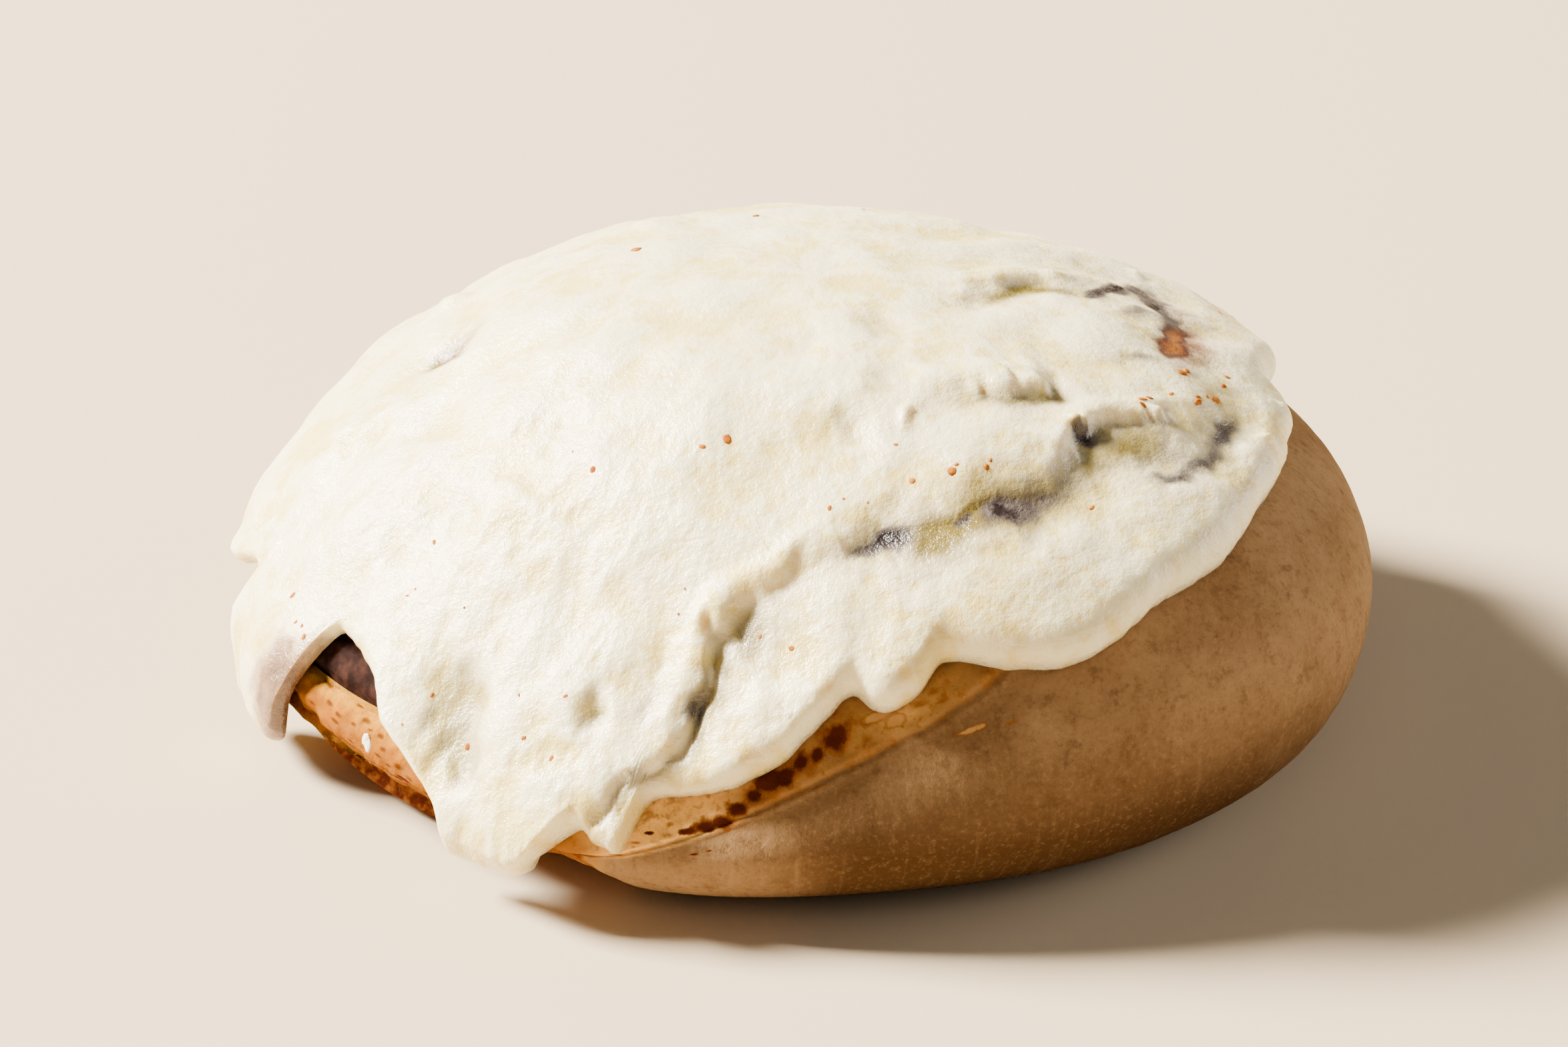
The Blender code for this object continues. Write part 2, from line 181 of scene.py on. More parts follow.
print("a quarter of the way up a soft step:", smooth(0.25))

# %% The bun's sizes
HALF_LENGTH = 75.0 * MM
HALF_WIDTH = 64.5 * MM
CORNER_POWER = 2.25
CREST_HEIGHT = 53.0 * MM
SHOULDER_POWER = 2.8
BASE_SHARE = 0.76
BASE_POWER = 2.2
OUTLINE_SWELL = {
    -180: -0.004, -172: -0.026, -165: -0.04, -150: -0.058, -130: -0.06, -115: -0.035, -95: -0.008,
    -60: -0.012, -25: -0.006, 5: -0.025, 30: -0.05, 60: -0.05, 100: -0.03, 140: -0.03}
SHOULDER_HEIGHT = {
    -175: 34, -150: 26, -120: 19, -100: 22, -80: 32, -60: 42, -40: 47, -10: 47, 30: 45, 60: 45, 100: 46,
    140: 44}
WIDEST_HEIGHT = {-175: 12, -150: 10.5, -120: 7.5, -90: 11, -60: 16, -30: 20, 30: 20, 90: 19, 150: 14}


def outline(direction):
    """The bun's radius at its widest line."""
    turn = np.radians(direction)
    sides = (np.abs(np.cos(turn)) / HALF_LENGTH) ** CORNER_POWER
    sides = sides + (np.abs(np.sin(turn)) / HALF_WIDTH) ** CORNER_POWER
    return sides ** (-1.0 / CORNER_POWER) * (1.0 + around(OUTLINE_SWELL, direction))


def top_height(share, direction):
    """The bun's top at a share of its outline."""
    widest = around(WIDEST_HEIGHT, direction) * MM
    dome = CREST_HEIGHT + (around(SHOULDER_HEIGHT, direction) * MM - CREST_HEIGHT) * share ** 2
    return widest + (dome - widest) * np.sqrt(np.maximum(0.0, 1.0 - share ** SHOULDER_POWER))


def base_height(share, direction):
    """The rounded edge under the bun, 0 on the flat base."""
    out = np.clip((share - BASE_SHARE) / (1.0 - BASE_SHARE), 0.0, 1.0)
    lift = 1.0 - np.sqrt(np.maximum(0.0, 1.0 - out ** BASE_POWER))
    return around(WIDEST_HEIGHT, direction) * MM * lift


print("outline to the right and to the front, mm:",
      round(float(outline(0.0)) / MM, 1), round(float(outline(-90.0)) / MM, 1))

# %% [markdown]
# ### Following the surface
#
# Icing is followed down the bun by how far it has run, not by its radius, because on the wall the
# radius hardly changes. The drape value is 0 at the crest and 1 at the widest line. Past 1 it goes
# straight down, where icing hangs off the wall.

# %% Following the surface downwards
DRAPE_LENGTH = 82.0 * MM


def drape_share(drape):
    """The share of the outline at a drape value."""
    return np.sin(np.minimum(drape, 1.0) * math.pi / 2.0) ** (2.0 / SHOULDER_POWER)


def share_drape(share):
    """The drape value at a share of the outline."""
    return 2.0 / math.pi * np.arcsin(np.clip(share, 0.0, 1.0) ** (SHOULDER_POWER / 2.0))


def drape_profile(drape, direction):
    """Radius and height on the bun's surface."""
    share = drape_share(drape)
    hanging = around(WIDEST_HEIGHT, direction) * MM - (drape - 1.0) * DRAPE_LENGTH
    return outline(direction) * share, np.where(drape <= 1.0, top_height(share, direction), hanging)


def lifted(drape, direction, lift):
    """The profile moved out from the bun's surface by a distance."""
    step = 0.01
    radius, height = drape_profile(drape, direction)
    radius_in, height_in = drape_profile(np.maximum(drape - step, 0.0), direction)
    radius_out, height_out = drape_profile(drape + step, direction)
    run, drop = radius_out - radius_in, height_out - height_in
    length = np.hypot(run, drop)
    return radius - drop / length * lift, height + run / length * lift


def to_space(radius, direction, height):
    """Polar places as points in the frame."""
    turn = np.radians(direction)
    return np.stack([radius * np.cos(turn) + EYE.x, radius * np.sin(turn) + EYE.y,
                     height + 0.0 * radius], -1)


def plan_points(drape, direction):
    """Places seen from above, measured from the eye."""
    radius = outline(direction) * drape_share(drape)
    turn = np.radians(direction)
    return np.stack([radius * np.cos(turn), radius * np.sin(turn)], -1)


print("from the crest to the widest line:", round(DRAPE_LENGTH / MM), "mm")

# %% [markdown]
# ### Unevenness
#
# Food is never smooth. Unevenness comes from Blender's own noise, read at each point of the mesh at a
# chosen size. A Displace modifier with a texture would do the same, but then the height could not
# be mixed with the folds and hollows that are placed on purpose.

# %% Unevenness and mesh helpers
def unevenness(points, size, seed=0.0):
    """Noise from about -1 to 1 at each point, with bumps of about the given size."""
    scaled = np.asarray(points, float) / size + seed
    if scaled.shape[-1] == 2:
        scaled = np.concatenate([scaled, np.zeros(scaled.shape[:-1] + (1,))], -1)
    flat = scaled.reshape(-1, 3)
    values = np.fromiter((noise.noise(point) for point in flat.tolist()), float, len(flat))
    return values.reshape(scaled.shape[:-1])


def grid_faces(rows, columns, capped=False):
    """Quads between the rows of a grid whose last column joins its first. A capped grid also has
    its first and its last row as faces."""
    row, column = np.meshgrid(np.arange(rows - 1), np.arange(columns), indexing="ij")
    beside = (column + 1) % columns
    corners = [row * columns + column, (row + 1) * columns + column,
               (row + 1) * columns + beside, row * columns + beside]
    faces = np.stack(corners, -1).reshape(-1, 4).tolist()
    if capped:
        faces.append(list(range(columns))[::-1])
        faces.append(list(range((rows - 1) * columns, rows * columns)))
    return faces


def make_piece(name, points, faces, finish, values=None):
    """A smooth mesh object, with named values stored at its points for its finish to read."""
    mesh = bpy.data.meshes.new(name)
    mesh.from_pydata(np.asarray(points, float).reshape(-1, 3).tolist(), [], faces)
    mesh.validate()
    mesh.shade_smooth()
    for label, amount in (values or {}).items():
        layer = mesh.attributes.new(label, "FLOAT", "POINT")
        layer.data.foreach_set("value", np.asarray(amount, np.float32).ravel())
    mesh.materials.append(finish.material)
    piece = bpy.data.objects.new(name, mesh)
    bpy.context.scene.collection.objects.link(piece)
    print(name, "has", len(mesh.polygons), "faces")
    return piece

# %% [markdown]
# ## Painting with nodes
#
# Each finish is a small network of nodes on one Principled surface. It could be drawn by hand in the
# shader editor, but written out it can be read from top to bottom and changed in one place. The
# helpers keep it short: they make noise of a real size, read what the mesh stores, ramp and add
# values, lay coats of colour over each other, and stack bumps of a real depth.

# %% Material helpers
class Finish:
    """A material that is built up node by node."""

    def __init__(self, name):
        self.material = bpy.data.materials.new(name)
        self.material.use_nodes = True
        self.tree = self.material.node_tree
        self.place = self.node("ShaderNodeTexCoord").outputs["Object"]

    def feed(self, socket, value):
        """Links a socket to another node's output, or sets its value."""
        if isinstance(value, bpy.types.NodeSocket):
            self.tree.links.new(value, socket)
        elif socket.type == "RGBA":
            socket.default_value = (*value, 1.0)
        else:
            socket.default_value = value

    def surface(self, **inputs):
        """Links or sets the Principled surface's own inputs."""
        principled = self.tree.nodes["Principled BSDF"]
        for label, value in inputs.items():
            self.feed(principled.inputs[label.replace("_", " ")], value)

    def node(self, kind, options=None, **inputs):
        """A node with its options set and its inputs linked or set."""
        made = self.tree.nodes.new(kind)
        for option, value in (options or {}).items():
            setattr(made, option, value)
        for label, value in inputs.items():
            self.feed(made.inputs[label.replace("_", " ")], value)
        return made

    def stored(self, label):
        """A value that the mesh stores at its points."""
        return self.node("ShaderNodeAttribute", {"attribute_name": label}).outputs["Fac"]

    def noise(self, size, detail=3.0, roughness=0.55, place=None):
        """Noise with features of about a size in metres."""
        return self.node("ShaderNodeTexNoise", Vector=place or self.place, Scale=1.0 / size,
                         Detail=detail, Roughness=roughness).outputs["Fac"]

    def plus(self, first, second, times=1.0):
        """The first value plus the second one, which is multiplied before that."""
        made = self.node("ShaderNodeMath", {"operation": "MULTIPLY_ADD"})
        for socket, value in zip(made.inputs, (second, times, first)):
            self.feed(socket, value)
        return made.outputs[0]

    def ramp(self, value, low, high, least=0.0, most=1.0, curve="SMOOTHSTEP"):
        """Its least where a value is low, its most where the value is high."""
        return self.node("ShaderNodeMapRange", {"interpolation_type": curve}, Value=value,
                         From_Min=low, From_Max=high, To_Min=least, To_Max=most).outputs["Result"]

    def coats(self, color, *coats):
        """A colour under coats of others. Each coat is how thickly it covers, and its colour."""
        for cover, coat in coats:
            made = self.node("ShaderNodeMix", {"data_type": "RGBA"})
            for number, value in ((0, cover), (6, color), (7, coat)):
                self.feed(made.inputs[number], value)
            color = made.outputs[2]
        return color

    def bumps(self, *layers):
        """Bumps on top of each other. Each is a height from 0 to 1, and its real depth in metres."""
        facing = None
        for height, depth in layers:
            made = self.node("ShaderNodeBump", Height=height, Distance=depth)
            if facing is not None:
                self.feed(made.inputs["Normal"], facing)
            facing = made.outputs["Normal"]
        return facing

# %% [markdown]
# ## The rolled strip of dough
#
# The dough is one long strip that starts thin at its tail, at the left, goes round the outside of
# the roll and then inwards to the eye. Each cross-section of the strip is a closed run of points.
# Sweeping a fixed section along a spiral curve would give turns of one thickness and height, but
# here the outer turn is thicker at the right, thin and low at the left, and follows the bun's
# outline. So the sections are computed one by one and joined into a skin.

# %% Where the strip runs
TAIL_DIRECTION = -168.0
STRIP_TURNED = 1408.0
GAP = 2.2 * MM
EYE_HOLE = 1.1 * MM
# Degrees turned: how far out the gap inside the strip runs, as a share of the outline.
GAP_SHARE = {
    0: 0.95, 18: 0.93, 30: 0.905, 48: 0.84, 68: 0.745, 89: 0.67, 112: 0.665, 131: 0.68, 150: 0.7,
    175: 0.67, 190: 0.66, 230: 0.68, 280: 0.7, 330: 0.71, 360: 0.69, 385: 0.65, 415: 0.56, 450: 0.47,
    480: 0.43, 540: 0.44, 600: 0.45, 660: 0.45, 720: 0.43, 770: 0.34, 820: 0.25, 900: 0.22, 960: 0.21,
    1010: 0.13, 1060: 0.03, 1100: 0}
DIVE_TURNED = (332.0, 360.0)    # where the strip passes in behind its own tail
THIN_TAIL_TURNED = (45.0, 85.0)
TAIL_LIFT_TURNED = (36.0, 60.0)
TAIL_LIFT = 7.2 * MM
EDGE_DIP = 2.6 * MM             # how far a turn's top rounds down into the gap
TAIL_DIP = 1.4 * MM             # the same on the thin tail
PROUD_DIP = 1.0 * MM            # and on the turn that stands above the tail


def thin_tail(turned):
    """1 along the thin tail, 0 from there on."""
    return 1.0 - smooth(turned, *THIN_TAIL_TURNED)


def tail_lift(turned):
    """How far the tail's underside stands clear of the floor."""
    return TAIL_LIFT * (1.0 - smooth(turned, *TAIL_LIFT_TURNED))


print("the strip turns", round(STRIP_TURNED / 360.0, 1), "times from its tail to the eye")

# %% Sections of the strip
BASE_POINTS, CROWN_POINTS = 15, 76
CROWN_START = 0.985             # the drape value where the top takes over from the wall
COVERED_WALL = 0.97             # the share of a covered turn's side that its own top leaves
BASE_MARGIN = 0.01
LEAST_TURN = 0.6 * MM
DIP_POWER = 4
# Degrees turned from one section to the next: fine along the tail and the rim, coarse inside.
STRETCHES = [(0.0, 112.0, 0.36), (112.0, 400.0, 0.8), (400.0, STRIP_TURNED + 0.1, 4.0)]


def strip_sections(turned):
    """Radius, height and drape value of every section's points."""
    direction = TAIL_DIRECTION + turned
    rim = outline(direction)
    inner = np.maximum(along(GAP_SHARE, turned) * rim + GAP / 2.0, EYE_HOLE)
    inner_share = inner / rim
    inner_dip = EDGE_DIP + (TAIL_DIP - EDGE_DIP) * thin_tail(turned)
    crown = np.linspace(0.0, 1.0, CROWN_POINTS)[None, :]
    inner_fall = inner_dip * crown ** DIP_POWER

    # The outer turn follows the bun: its rounded edge underneath, then its wall and its top.
    base_start = np.maximum(BASE_SHARE, inner_share + BASE_MARGIN)
    base_step = np.sin(np.linspace(0.0, math.pi / 2.0, BASE_POINTS))[None, :]
    share = base_start + (1.0 - base_start) * base_step
    lift = tail_lift(turned)
    height = base_height(share, direction)
    free_base = rim * share, height + lift * (1.0 - height / (around(WIDEST_HEIGHT, direction) * MM))
    drape = CROWN_START + (share_drape(inner_share) - CROWN_START) * crown
    free_radius, free_height = drape_profile(drape, direction)
    free_crown = free_radius, free_height - inner_fall

    # A covered turn has an upright side at the gap, and a top that rounds down on both sides.
    last_turn = np.maximum(turned - 360.0, 0.0)
    outer = np.maximum(along(GAP_SHARE, last_turn) * rim - GAP / 2.0, inner + LEAST_TURN)
    outer_dip = EDGE_DIP + (PROUD_DIP - EDGE_DIP) * thin_tail(last_turn)
    edge = top_height(outer / rim, direction) - outer_dip
    foot = base_height(outer / rim, direction)
    wall_step = np.linspace(0.0, COVERED_WALL, BASE_POINTS)[None, :]
    hidden_base = outer + 0.0 * wall_step, foot + (edge - foot) * wall_step
    radius = outer + (inner - outer) * crown
    height = top_height(radius / rim, direction) - outer_dip * (1.0 - crown) ** DIP_POWER
    hidden_crown = radius, height - inner_fall

    under = smooth(turned, *DIVE_TURNED)
    start = inner, base_height(inner_share, direction) + lift
    joined = []
    for axis in (0, 1):
        free = np.concatenate([free_base[axis], free_crown[axis]], 1)
        hidden = np.concatenate([hidden_base[axis], hidden_crown[axis]], 1)
        joined.append(np.concatenate([start[axis], free + (hidden - free) * under], 1))
    at_wall = np.ones((len(turned), 1 + BASE_POINTS))
    return joined[0], joined[1], np.concatenate([at_wall, drape], 1)


turned = np.concatenate([np.arange(*stretch) for stretch in STRETCHES])
strip_radius, strip_height, strip_drape = strip_sections(turned[:, None])
strip_turned = np.repeat(turned[:, None], strip_radius.shape[1], 1)
strip_direction = TAIL_DIRECTION + strip_turned
print(len(turned), "sections of", strip_radius.shape[1], "points")

# %% [markdown]
# ### Relief on the baked skin
#
# At the front a browned rim swells out from under the icing, and a crease parts it from the smooth
# tan wall below. The crease is a line of named points on the bun. Above it the skin stands out and
# is blistered; below it the skin is smooth with very fine upright wrinkles, where it stuck to its
# neighbours in the baking tin. The exposed tail is the most blistered part. Bump could shade all of
# this, but light from one side casts real shadows in a crease, so the skin's points are moved.

# %% The crease under the browned rim
# Direction: drape value of the crease.
CREASE = {
    -125: 1.05, -113.5: 0.965, -105: 0.855, -98: 0.785, -92: 0.74, -86: 0.705, -81: 0.683, -76: 0.663,
    -72: 0.64, -68: 0.62, -60: 0.56}
# Soft ends: directions from which each zone fades in.
RIM_LEFT, RIM_RIGHT = (-126.0, -116.0), (-60.0, -68.0)
TAIL_RIGHT = (-108.0, -116.0)
OUTER_TURNED = 300.0            # degrees turned, up to which the strip is seen from outside
SWELL_EDGE = 1.2 * MM

crease_keys = sorted(CREASE)
crease_line = np.interp(strip_direction, crease_keys, [CREASE[key] for key in crease_keys])
below_crease = (strip_drape - crease_line) * DRAPE_LENGTH
first_turn = strip_turned < OUTER_TURNED
on_rim = smooth(strip_direction, *RIM_LEFT) * smooth(strip_direction, *RIM_RIGHT) * first_turn
rim_swell = on_rim * smooth(below_crease, SWELL_EDGE, -SWELL_EDGE)
tail_crust = thin_tail(strip_turned) * smooth(strip_direction, *TAIL_RIGHT) * first_turn
crusty = np.clip(rim_swell + tail_crust, 0.0, 1.0)
print("crust on", round(float((crusty > 0.5).mean()) * 100, 1), "% of the strip's points")

# %% Raising the relief
CREASE_WIDTH = 0.7 * MM
BEAD_BELOW = 1.4 * MM           # a fine bead runs this far below the crease
TAIL_ROUNDING = 0.8 * MM        # the tail's lower edge is rounded off by this
ROUNDED_TURNED = 395.0          # from here on the strip is inside the roll, and stays plain
FLOOR_RANGE = (0.4 * MM, 3.4 * MM)

strip_places = to_space(strip_radius, strip_direction, strip_height)
wide_lumps = unevenness(strip_places, 24.0 * MM)
blisters = unevenness(strip_places, 3.2 * MM, 7.0)
pores = unevenness(strip_places, 1.6 * MM, 3.0)
upright = np.stack([strip_direction * 0.9, strip_height / (9.0 * MM), 0.0 * strip_height], -1)
wrinkles = unevenness(upright, 1.0, 5.0)
groove = on_rim * np.exp(-(below_crease / CREASE_WIDTH) ** 2)
bead = on_rim * np.exp(-((below_crease - BEAD_BELOW) / CREASE_WIDTH) ** 2)
rounding = np.clip(((strip_drape - 0.84) / 0.11) ** 2, 0.0, 1.3) * (strip_drape <= 1.0)

relief = MM * (0.45 * wide_lumps - 0.3 + 0.07 * (1.0 - crusty) * wrinkles)
relief += MM * crusty * (0.40 * blisters + 0.22 * pores)
relief += MM * (0.55 * rim_swell - 0.22 * groove + 0.25 * bead)
relief -= TAIL_ROUNDING * tail_crust * rounding
relief *= smooth(strip_height, *FLOOR_RANGE) * (strip_turned <= ROUNDED_TURNED)
relief[:, [0, -1]] = 0.0

step_radius, step_height = np.gradient(strip_radius, axis=1), np.gradient(strip_height, axis=1)
step_length = np.hypot(step_radius, step_height) + 1e-9
strip_radius = strip_radius + step_height / step_length * relief
strip_height = strip_height - step_radius / step_length * relief
print("relief from", round(relief.min() / MM, 2), "to", round(relief.max() / MM, 2), "mm")

# %% [markdown]
# ### The colour of baked dough
#
# Real crust isn't orange all over. The wall is a quiet tan with a fine grain, because it baked against
# its neighbours, and it is painted darker towards its foot, as shade. Only the rim and the tail took
# the oven's heat: they go to golden brown, and to near-black caramel where sugar ran and burnt. The
# tail's lower side and the turns inside, one of which shows under it, are painted darker too, partly
# as shade. One noise could mottle the whole skin, but it would not know where the rim is. So the mesh
# stores where those zones are, and noise only breaks up their edges.

# %% Spots on the dough
SPOT_STRENGTH = 1.3
# Caramel spots: direction, drape value, half size along and down the skin (mm).
CARAMEL_SPOTS = [
    (-102.8, 0.815, 1.4, 1.2), (-101, 0.803, 1.5, 1.7), (-99.2, 0.79, 1.7, 2.2), (-97.6, 0.755, 1.5, 2),
    (-95.8, 0.725, 1.3, 1.7), (-94.4, 0.692, 2, 3.2), (-92.6, 0.692, 1.5, 2.1),
    (-90.6, 0.665, 1.2, 2.3), (-88.8, 0.66, 1, 2), (-86.6, 0.632, 1.9, 3), (-107.2, 0.82, 0.8, 0.7),
    (-102, 0.912, 0.6, 0.6), (-100.4, 0.897, 0.4, 0.5), (-137.5, 0.93, 1.6, 0.8),
    (-133.4, 0.95, 2.2, 1.4), (-131.5, 1, 2.2, 1.6), (-176, 0.83, 2.4, 2), (-179, 0.86, 2, 1.5)]
# Freckles, lighter brown, in the same way; the last four are wide brown patches on the rim.
FRECKLES = [
    (-150.4, 0.839, 0.8, 1.1), (-147.1, 0.76, 0.7, 1), (-148.4, 0.85, 0.9, 1), (-148.6, 0.885, 1, 0.8),
    (-144.7, 0.794, 1, 1.3), (-145.9, 0.839, 0.6, 0.8), (-143.6, 0.815, 0.5, 0.7),
    (-142.1, 0.812, 0.6, 1), (-152.9, 0.9, 0.7, 1.2), (-152.9, 0.78, 1.3, 1), (-151.8, 0.96, 0.9, 0.8),
    (-141, 0.85, 0.6, 0.9), (-141.4, 0.888, 0.7, 0.7), (-138.4, 0.88, 0.8, 1.3),
    (-136.6, 0.905, 0.7, 1.4), (-139.8, 0.905, 0.7, 0.6), (-146, 0.925, 0.9, 0.6),
    (-144, 0.91, 0.5, 0.6), (-79, 0.607, 1.2, 0.8), (-76.5, 0.615, 1.4, 0.7), (-73.8, 0.622, 0.9, 0.6),
    (-74.8, 0.6, 1, 0.7), (-83, 0.655, 0.8, 0.9), (-105, 0.79, 0.6, 0.9), (-108.5, 0.86, 0.9, 0.6),
    (-110.5, 0.93, 1.3, 0.6), (-107, 0.905, 0.7, 0.5), (-67, 0.716, 1.1, 0.45),
    (-65.6, 0.706, 0.9, 0.4), (-88.5, 0.735, 1.2, 0.5), (-99.5, 0.79, 3.6, 2.6), (-95, 0.725, 3.4, 3),
    (-91, 0.672, 3.4, 3.2), (-86.8, 0.636, 3, 3.2)]
# Torn skin with pale crumb under it.
PALE_SPOTS = [
    (-71.6, 0.703, 2, 0.7), (-70.4, 0.699, 1, 0.6), (-81.6, 0.612, 2.4, 1.1), (-79.6, 0.634, 1.6, 1.3)]


def spot_weight(places):
    """How strongly each point of the strip lies in one of the spots."""
    weight = np.zeros_like(strip_direction)
    for at, down, long, wide in places:
        off_along = np.radians(strip_direction - at) * outline(at) / (long * MM)
        off_down = (strip_drape - down) * DRAPE_LENGTH / (wide * MM)
        weight = np.maximum(weight, SPOT_STRENGTH * np.exp(-off_along ** 2 - off_down ** 2))
    return weight * first_turn


caramel_and_shade, freckled_and_shaded, pale = (spot_weight(places) for places in (CARAMEL_SPOTS, FRECKLES, PALE_SPOTS))
print("caramel covers", round(float((caramel_and_shade > 0.5).mean()) * 100, 2), "% of the strip's points")

# %% Broad zones on the dough
TURN_RADIUS = 62.0              # millimetres, about the roll's own
# Painted shade: the tail goes from gold at its upper edge to deep orange at its lower one, where it
# turns under, and its lower edge is painted dark, as shade and as burnt crust.
tail_foot = tail_crust * smooth(strip_drape, 0.74, 0.94)
tail_edge = tail_crust * smooth(strip_drape, 0.92, 0.99)
freckled_and_shaded = np.maximum(freckled_and_shaded, 0.8 * tail_edge)
caramel_and_shade = np.maximum(caramel_and_shade, 0.62 * tail_edge * smooth(strip_direction, -152.0, -138.0))
# The turns inside are painted dark, as the filling's stain and as the shade under the lifted tail,
# where one of them shows.
caramel_and_shade = np.maximum(caramel_and_shade, 0.8 * smooth(strip_turned, 358.0, 372.0))
# The browned colour fades into the wall below the crease, more slowly at the left.
fading = (8.5 - 5.5 * smooth(strip_direction, -104.0, -86.0)) * MM
browned = np.maximum(crusty, on_rim * smooth(below_crease / fading, 0.72, -0.28))
# Painted shade: the wall is darker towards its foot, except at the left.
low = 1.15 * smooth(strip_height, 32.0 * MM, 5.0 * MM) * smooth(strip_direction, -100.0, -82.0)
low = low * (1.0 - 0.45 * smooth(strip_direction, -50.0, -20.0))
# The rim is golden at its left end, browner towards its right one, with a last golden patch.
patch = ((strip_direction + 79.0) / 4.0) ** 2 + ((strip_drape - 0.625) / 0.03) ** 2
golden = 1.0 - 0.8 * smooth(strip_direction, -103.0, -95.0) + 0.45 * np.exp(-patch)
# The skin unrolled: millimetres round the roll and down the wall.
skin_along = np.radians(strip_direction) * TURN_RADIUS
skin_down = np.where(strip_drape < 1.0, strip_drape, 1.0) * DRAPE_LENGTH / MM - strip_height / MM * 0.3
print("browned skin reaches", round(float(fading.max()) / MM, 1), "mm below the crease")

# %% Colours of the wall and of the crust
# Some colours also paint shade: the darkest tan at the wall's foot, the orange and the freckle brown on
# the tail's lower side, and the caramel on the turns inside the roll.
TAN = (0.345, 0.207, 0.097)
TAN_DARK = (0.245, 0.137, 0.059)
TAN_PALE = (0.46, 0.29, 0.14)
TAN_LOW = (0.075, 0.036, 0.013)
GOLDEN = (1.0, 0.56, 0.15)
BROWNER = (0.165, 0.070, 0.031)
GOLDEN_BROWN = (0.24, 0.080, 0.014)
TAIL_GOLD = (0.47, 0.22, 0.012)
TAIL_ORANGE = (0.26, 0.085, 0.004)
TAIL_FRECKLE_AND_SHADE = (0.085, 0.022, 0.003)
CARAMEL_AND_SHADE = (0.068, 0.014, 0.006)
PALE_CRUMB = (0.62, 0.33, 0.10)

dough = Finish("baked_dough")
unrolled = dough.node("ShaderNodeCombineXYZ", X=dough.stored("along"), Y=dough.stored("down"))
stretched = dough.node("ShaderNodeMapping", Vector=unrolled.outputs["Vector"], Scale=(1.0, 0.16, 1.0))
grain = dough.noise(0.7 * MM, detail=4.0, roughness=0.85)
pits = dough.noise(1.5 * MM, detail=3.0, roughness=0.6)
speckle = dough.noise(2.2 * MM, detail=5.0, roughness=0.75)
blotches = dough.noise(4.0 * MM, detail=5.0, roughness=0.65)
patches = dough.noise(14.0 * MM, detail=4.0, roughness=0.6)
streaks = dough.noise(1.5, detail=4.0, roughness=0.6, place=stretched.outputs["Vector"])
dark_grain = dough.ramp(grain, 0.5, 0.25, most=0.45)
# The stored low value paints shade at the wall's foot, in the darkest tan.
wall_color = dough.coats(
    TAN, (dough.ramp(patches, 0.35, 0.7), TAN_DARK), (dough.stored("low"), TAN_LOW),
    (dough.ramp(speckle, 0.48, 0.75, most=0.55), TAN_LOW),
    (dough.ramp(streaks, 0.55, 0.8, most=0.2), TAN_PALE),
    (dough.ramp(grain, 0.5, 0.75, most=0.3), TAN_PALE), (dark_grain, TAN_LOW))
# The tail's stored foot value paints shade: deep orange where it turns under.
tail_turning = dough.ramp(dough.plus(dough.stored("tail_foot"), pits, 0.9), 0.3, 1.2)
tail_color = dough.coats(TAIL_GOLD, (tail_turning, TAIL_ORANGE))
crust_color = dough.coats(
    BROWNER, (dough.stored("golden"), GOLDEN), (dough.stored("tail"), tail_color),
    (dough.ramp(blotches, 0.5, 0.72, most=0.6), GOLDEN_BROWN),
    (dough.ramp(pits, 0.54, 0.68, most=0.6), GOLDEN_BROWN),
    (dough.plus(0.0, dark_grain, 0.8), GOLDEN_BROWN))
print("dough so far:", len(dough.tree.nodes), "nodes")

# %% Baked dough finish
ragged = dough.plus(-0.65, pits, 1.3)
crust_edge = dough.plus(dough.stored("browned"), dough.plus(-0.55, blotches, 1.1))
# The freckle and caramel values also carry painted shade, on the tail's lower edge and the turns
# inside.
torn, freckle_and_shade, burnt_and_shaded = (dough.plus(dough.stored(zone), ragged)
                        for zone in ("pale", "freckled_and_shaded", "caramel_and_shade"))
freckle_and_shade_color = dough.coats(GOLDEN_BROWN, (dough.stored("tail"), TAIL_FRECKLE_AND_SHADE))
dough_color = dough.coats(
    wall_color, (dough.ramp(crust_edge, 0.1, 1.1), crust_color),
    (dough.ramp(torn, 0.35, 0.6, most=0.5), GOLDEN_BROWN), (dough.ramp(torn, 0.6, 1.0), PALE_CRUMB),
    (dough.ramp(freckle_and_shade, 0.25, 1.15, most=0.85), freckle_and_shade_color),
    (dough.ramp(burnt_and_shaded, 0.35, 0.65), GOLDEN_BROWN), (dough.ramp(burnt_and_shaded, 0.55, 0.95), CARAMEL_AND_SHADE))
dough.surface(
    Base_Color=dough_color, Roughness=dough.ramp(grain, 0.0, 1.0, 0.45, 0.7, "LINEAR"),
    Normal=dough.bumps((grain, 0.10 * MM), (speckle, 0.16 * MM), (streaks, 0.12 * MM)),
    Specular_IOR_Level=0.0, Subsurface_Weight=0.10, Subsurface_Radius=(1.0, 0.45, 0.2),
    Subsurface_Scale=1.2 * MM)
print("dough finish:", len(dough.tree.nodes), "nodes")

# %% The dough's skin
dough_skin = make_piece(
    "dough_skin", to_space(strip_radius, strip_direction, strip_height),
    grid_faces(*strip_radius.shape, capped=True), dough,
    {"browned": browned, "caramel_and_shade": caramel_and_shade, "freckled_and_shaded": freckled_and_shaded, "pale": pale, "golden": golden,
     "tail": tail_crust, "tail_foot": tail_foot, "low": low, "along": skin_along, "down": skin_down})
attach(dough_skin, "root")
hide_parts("dough")

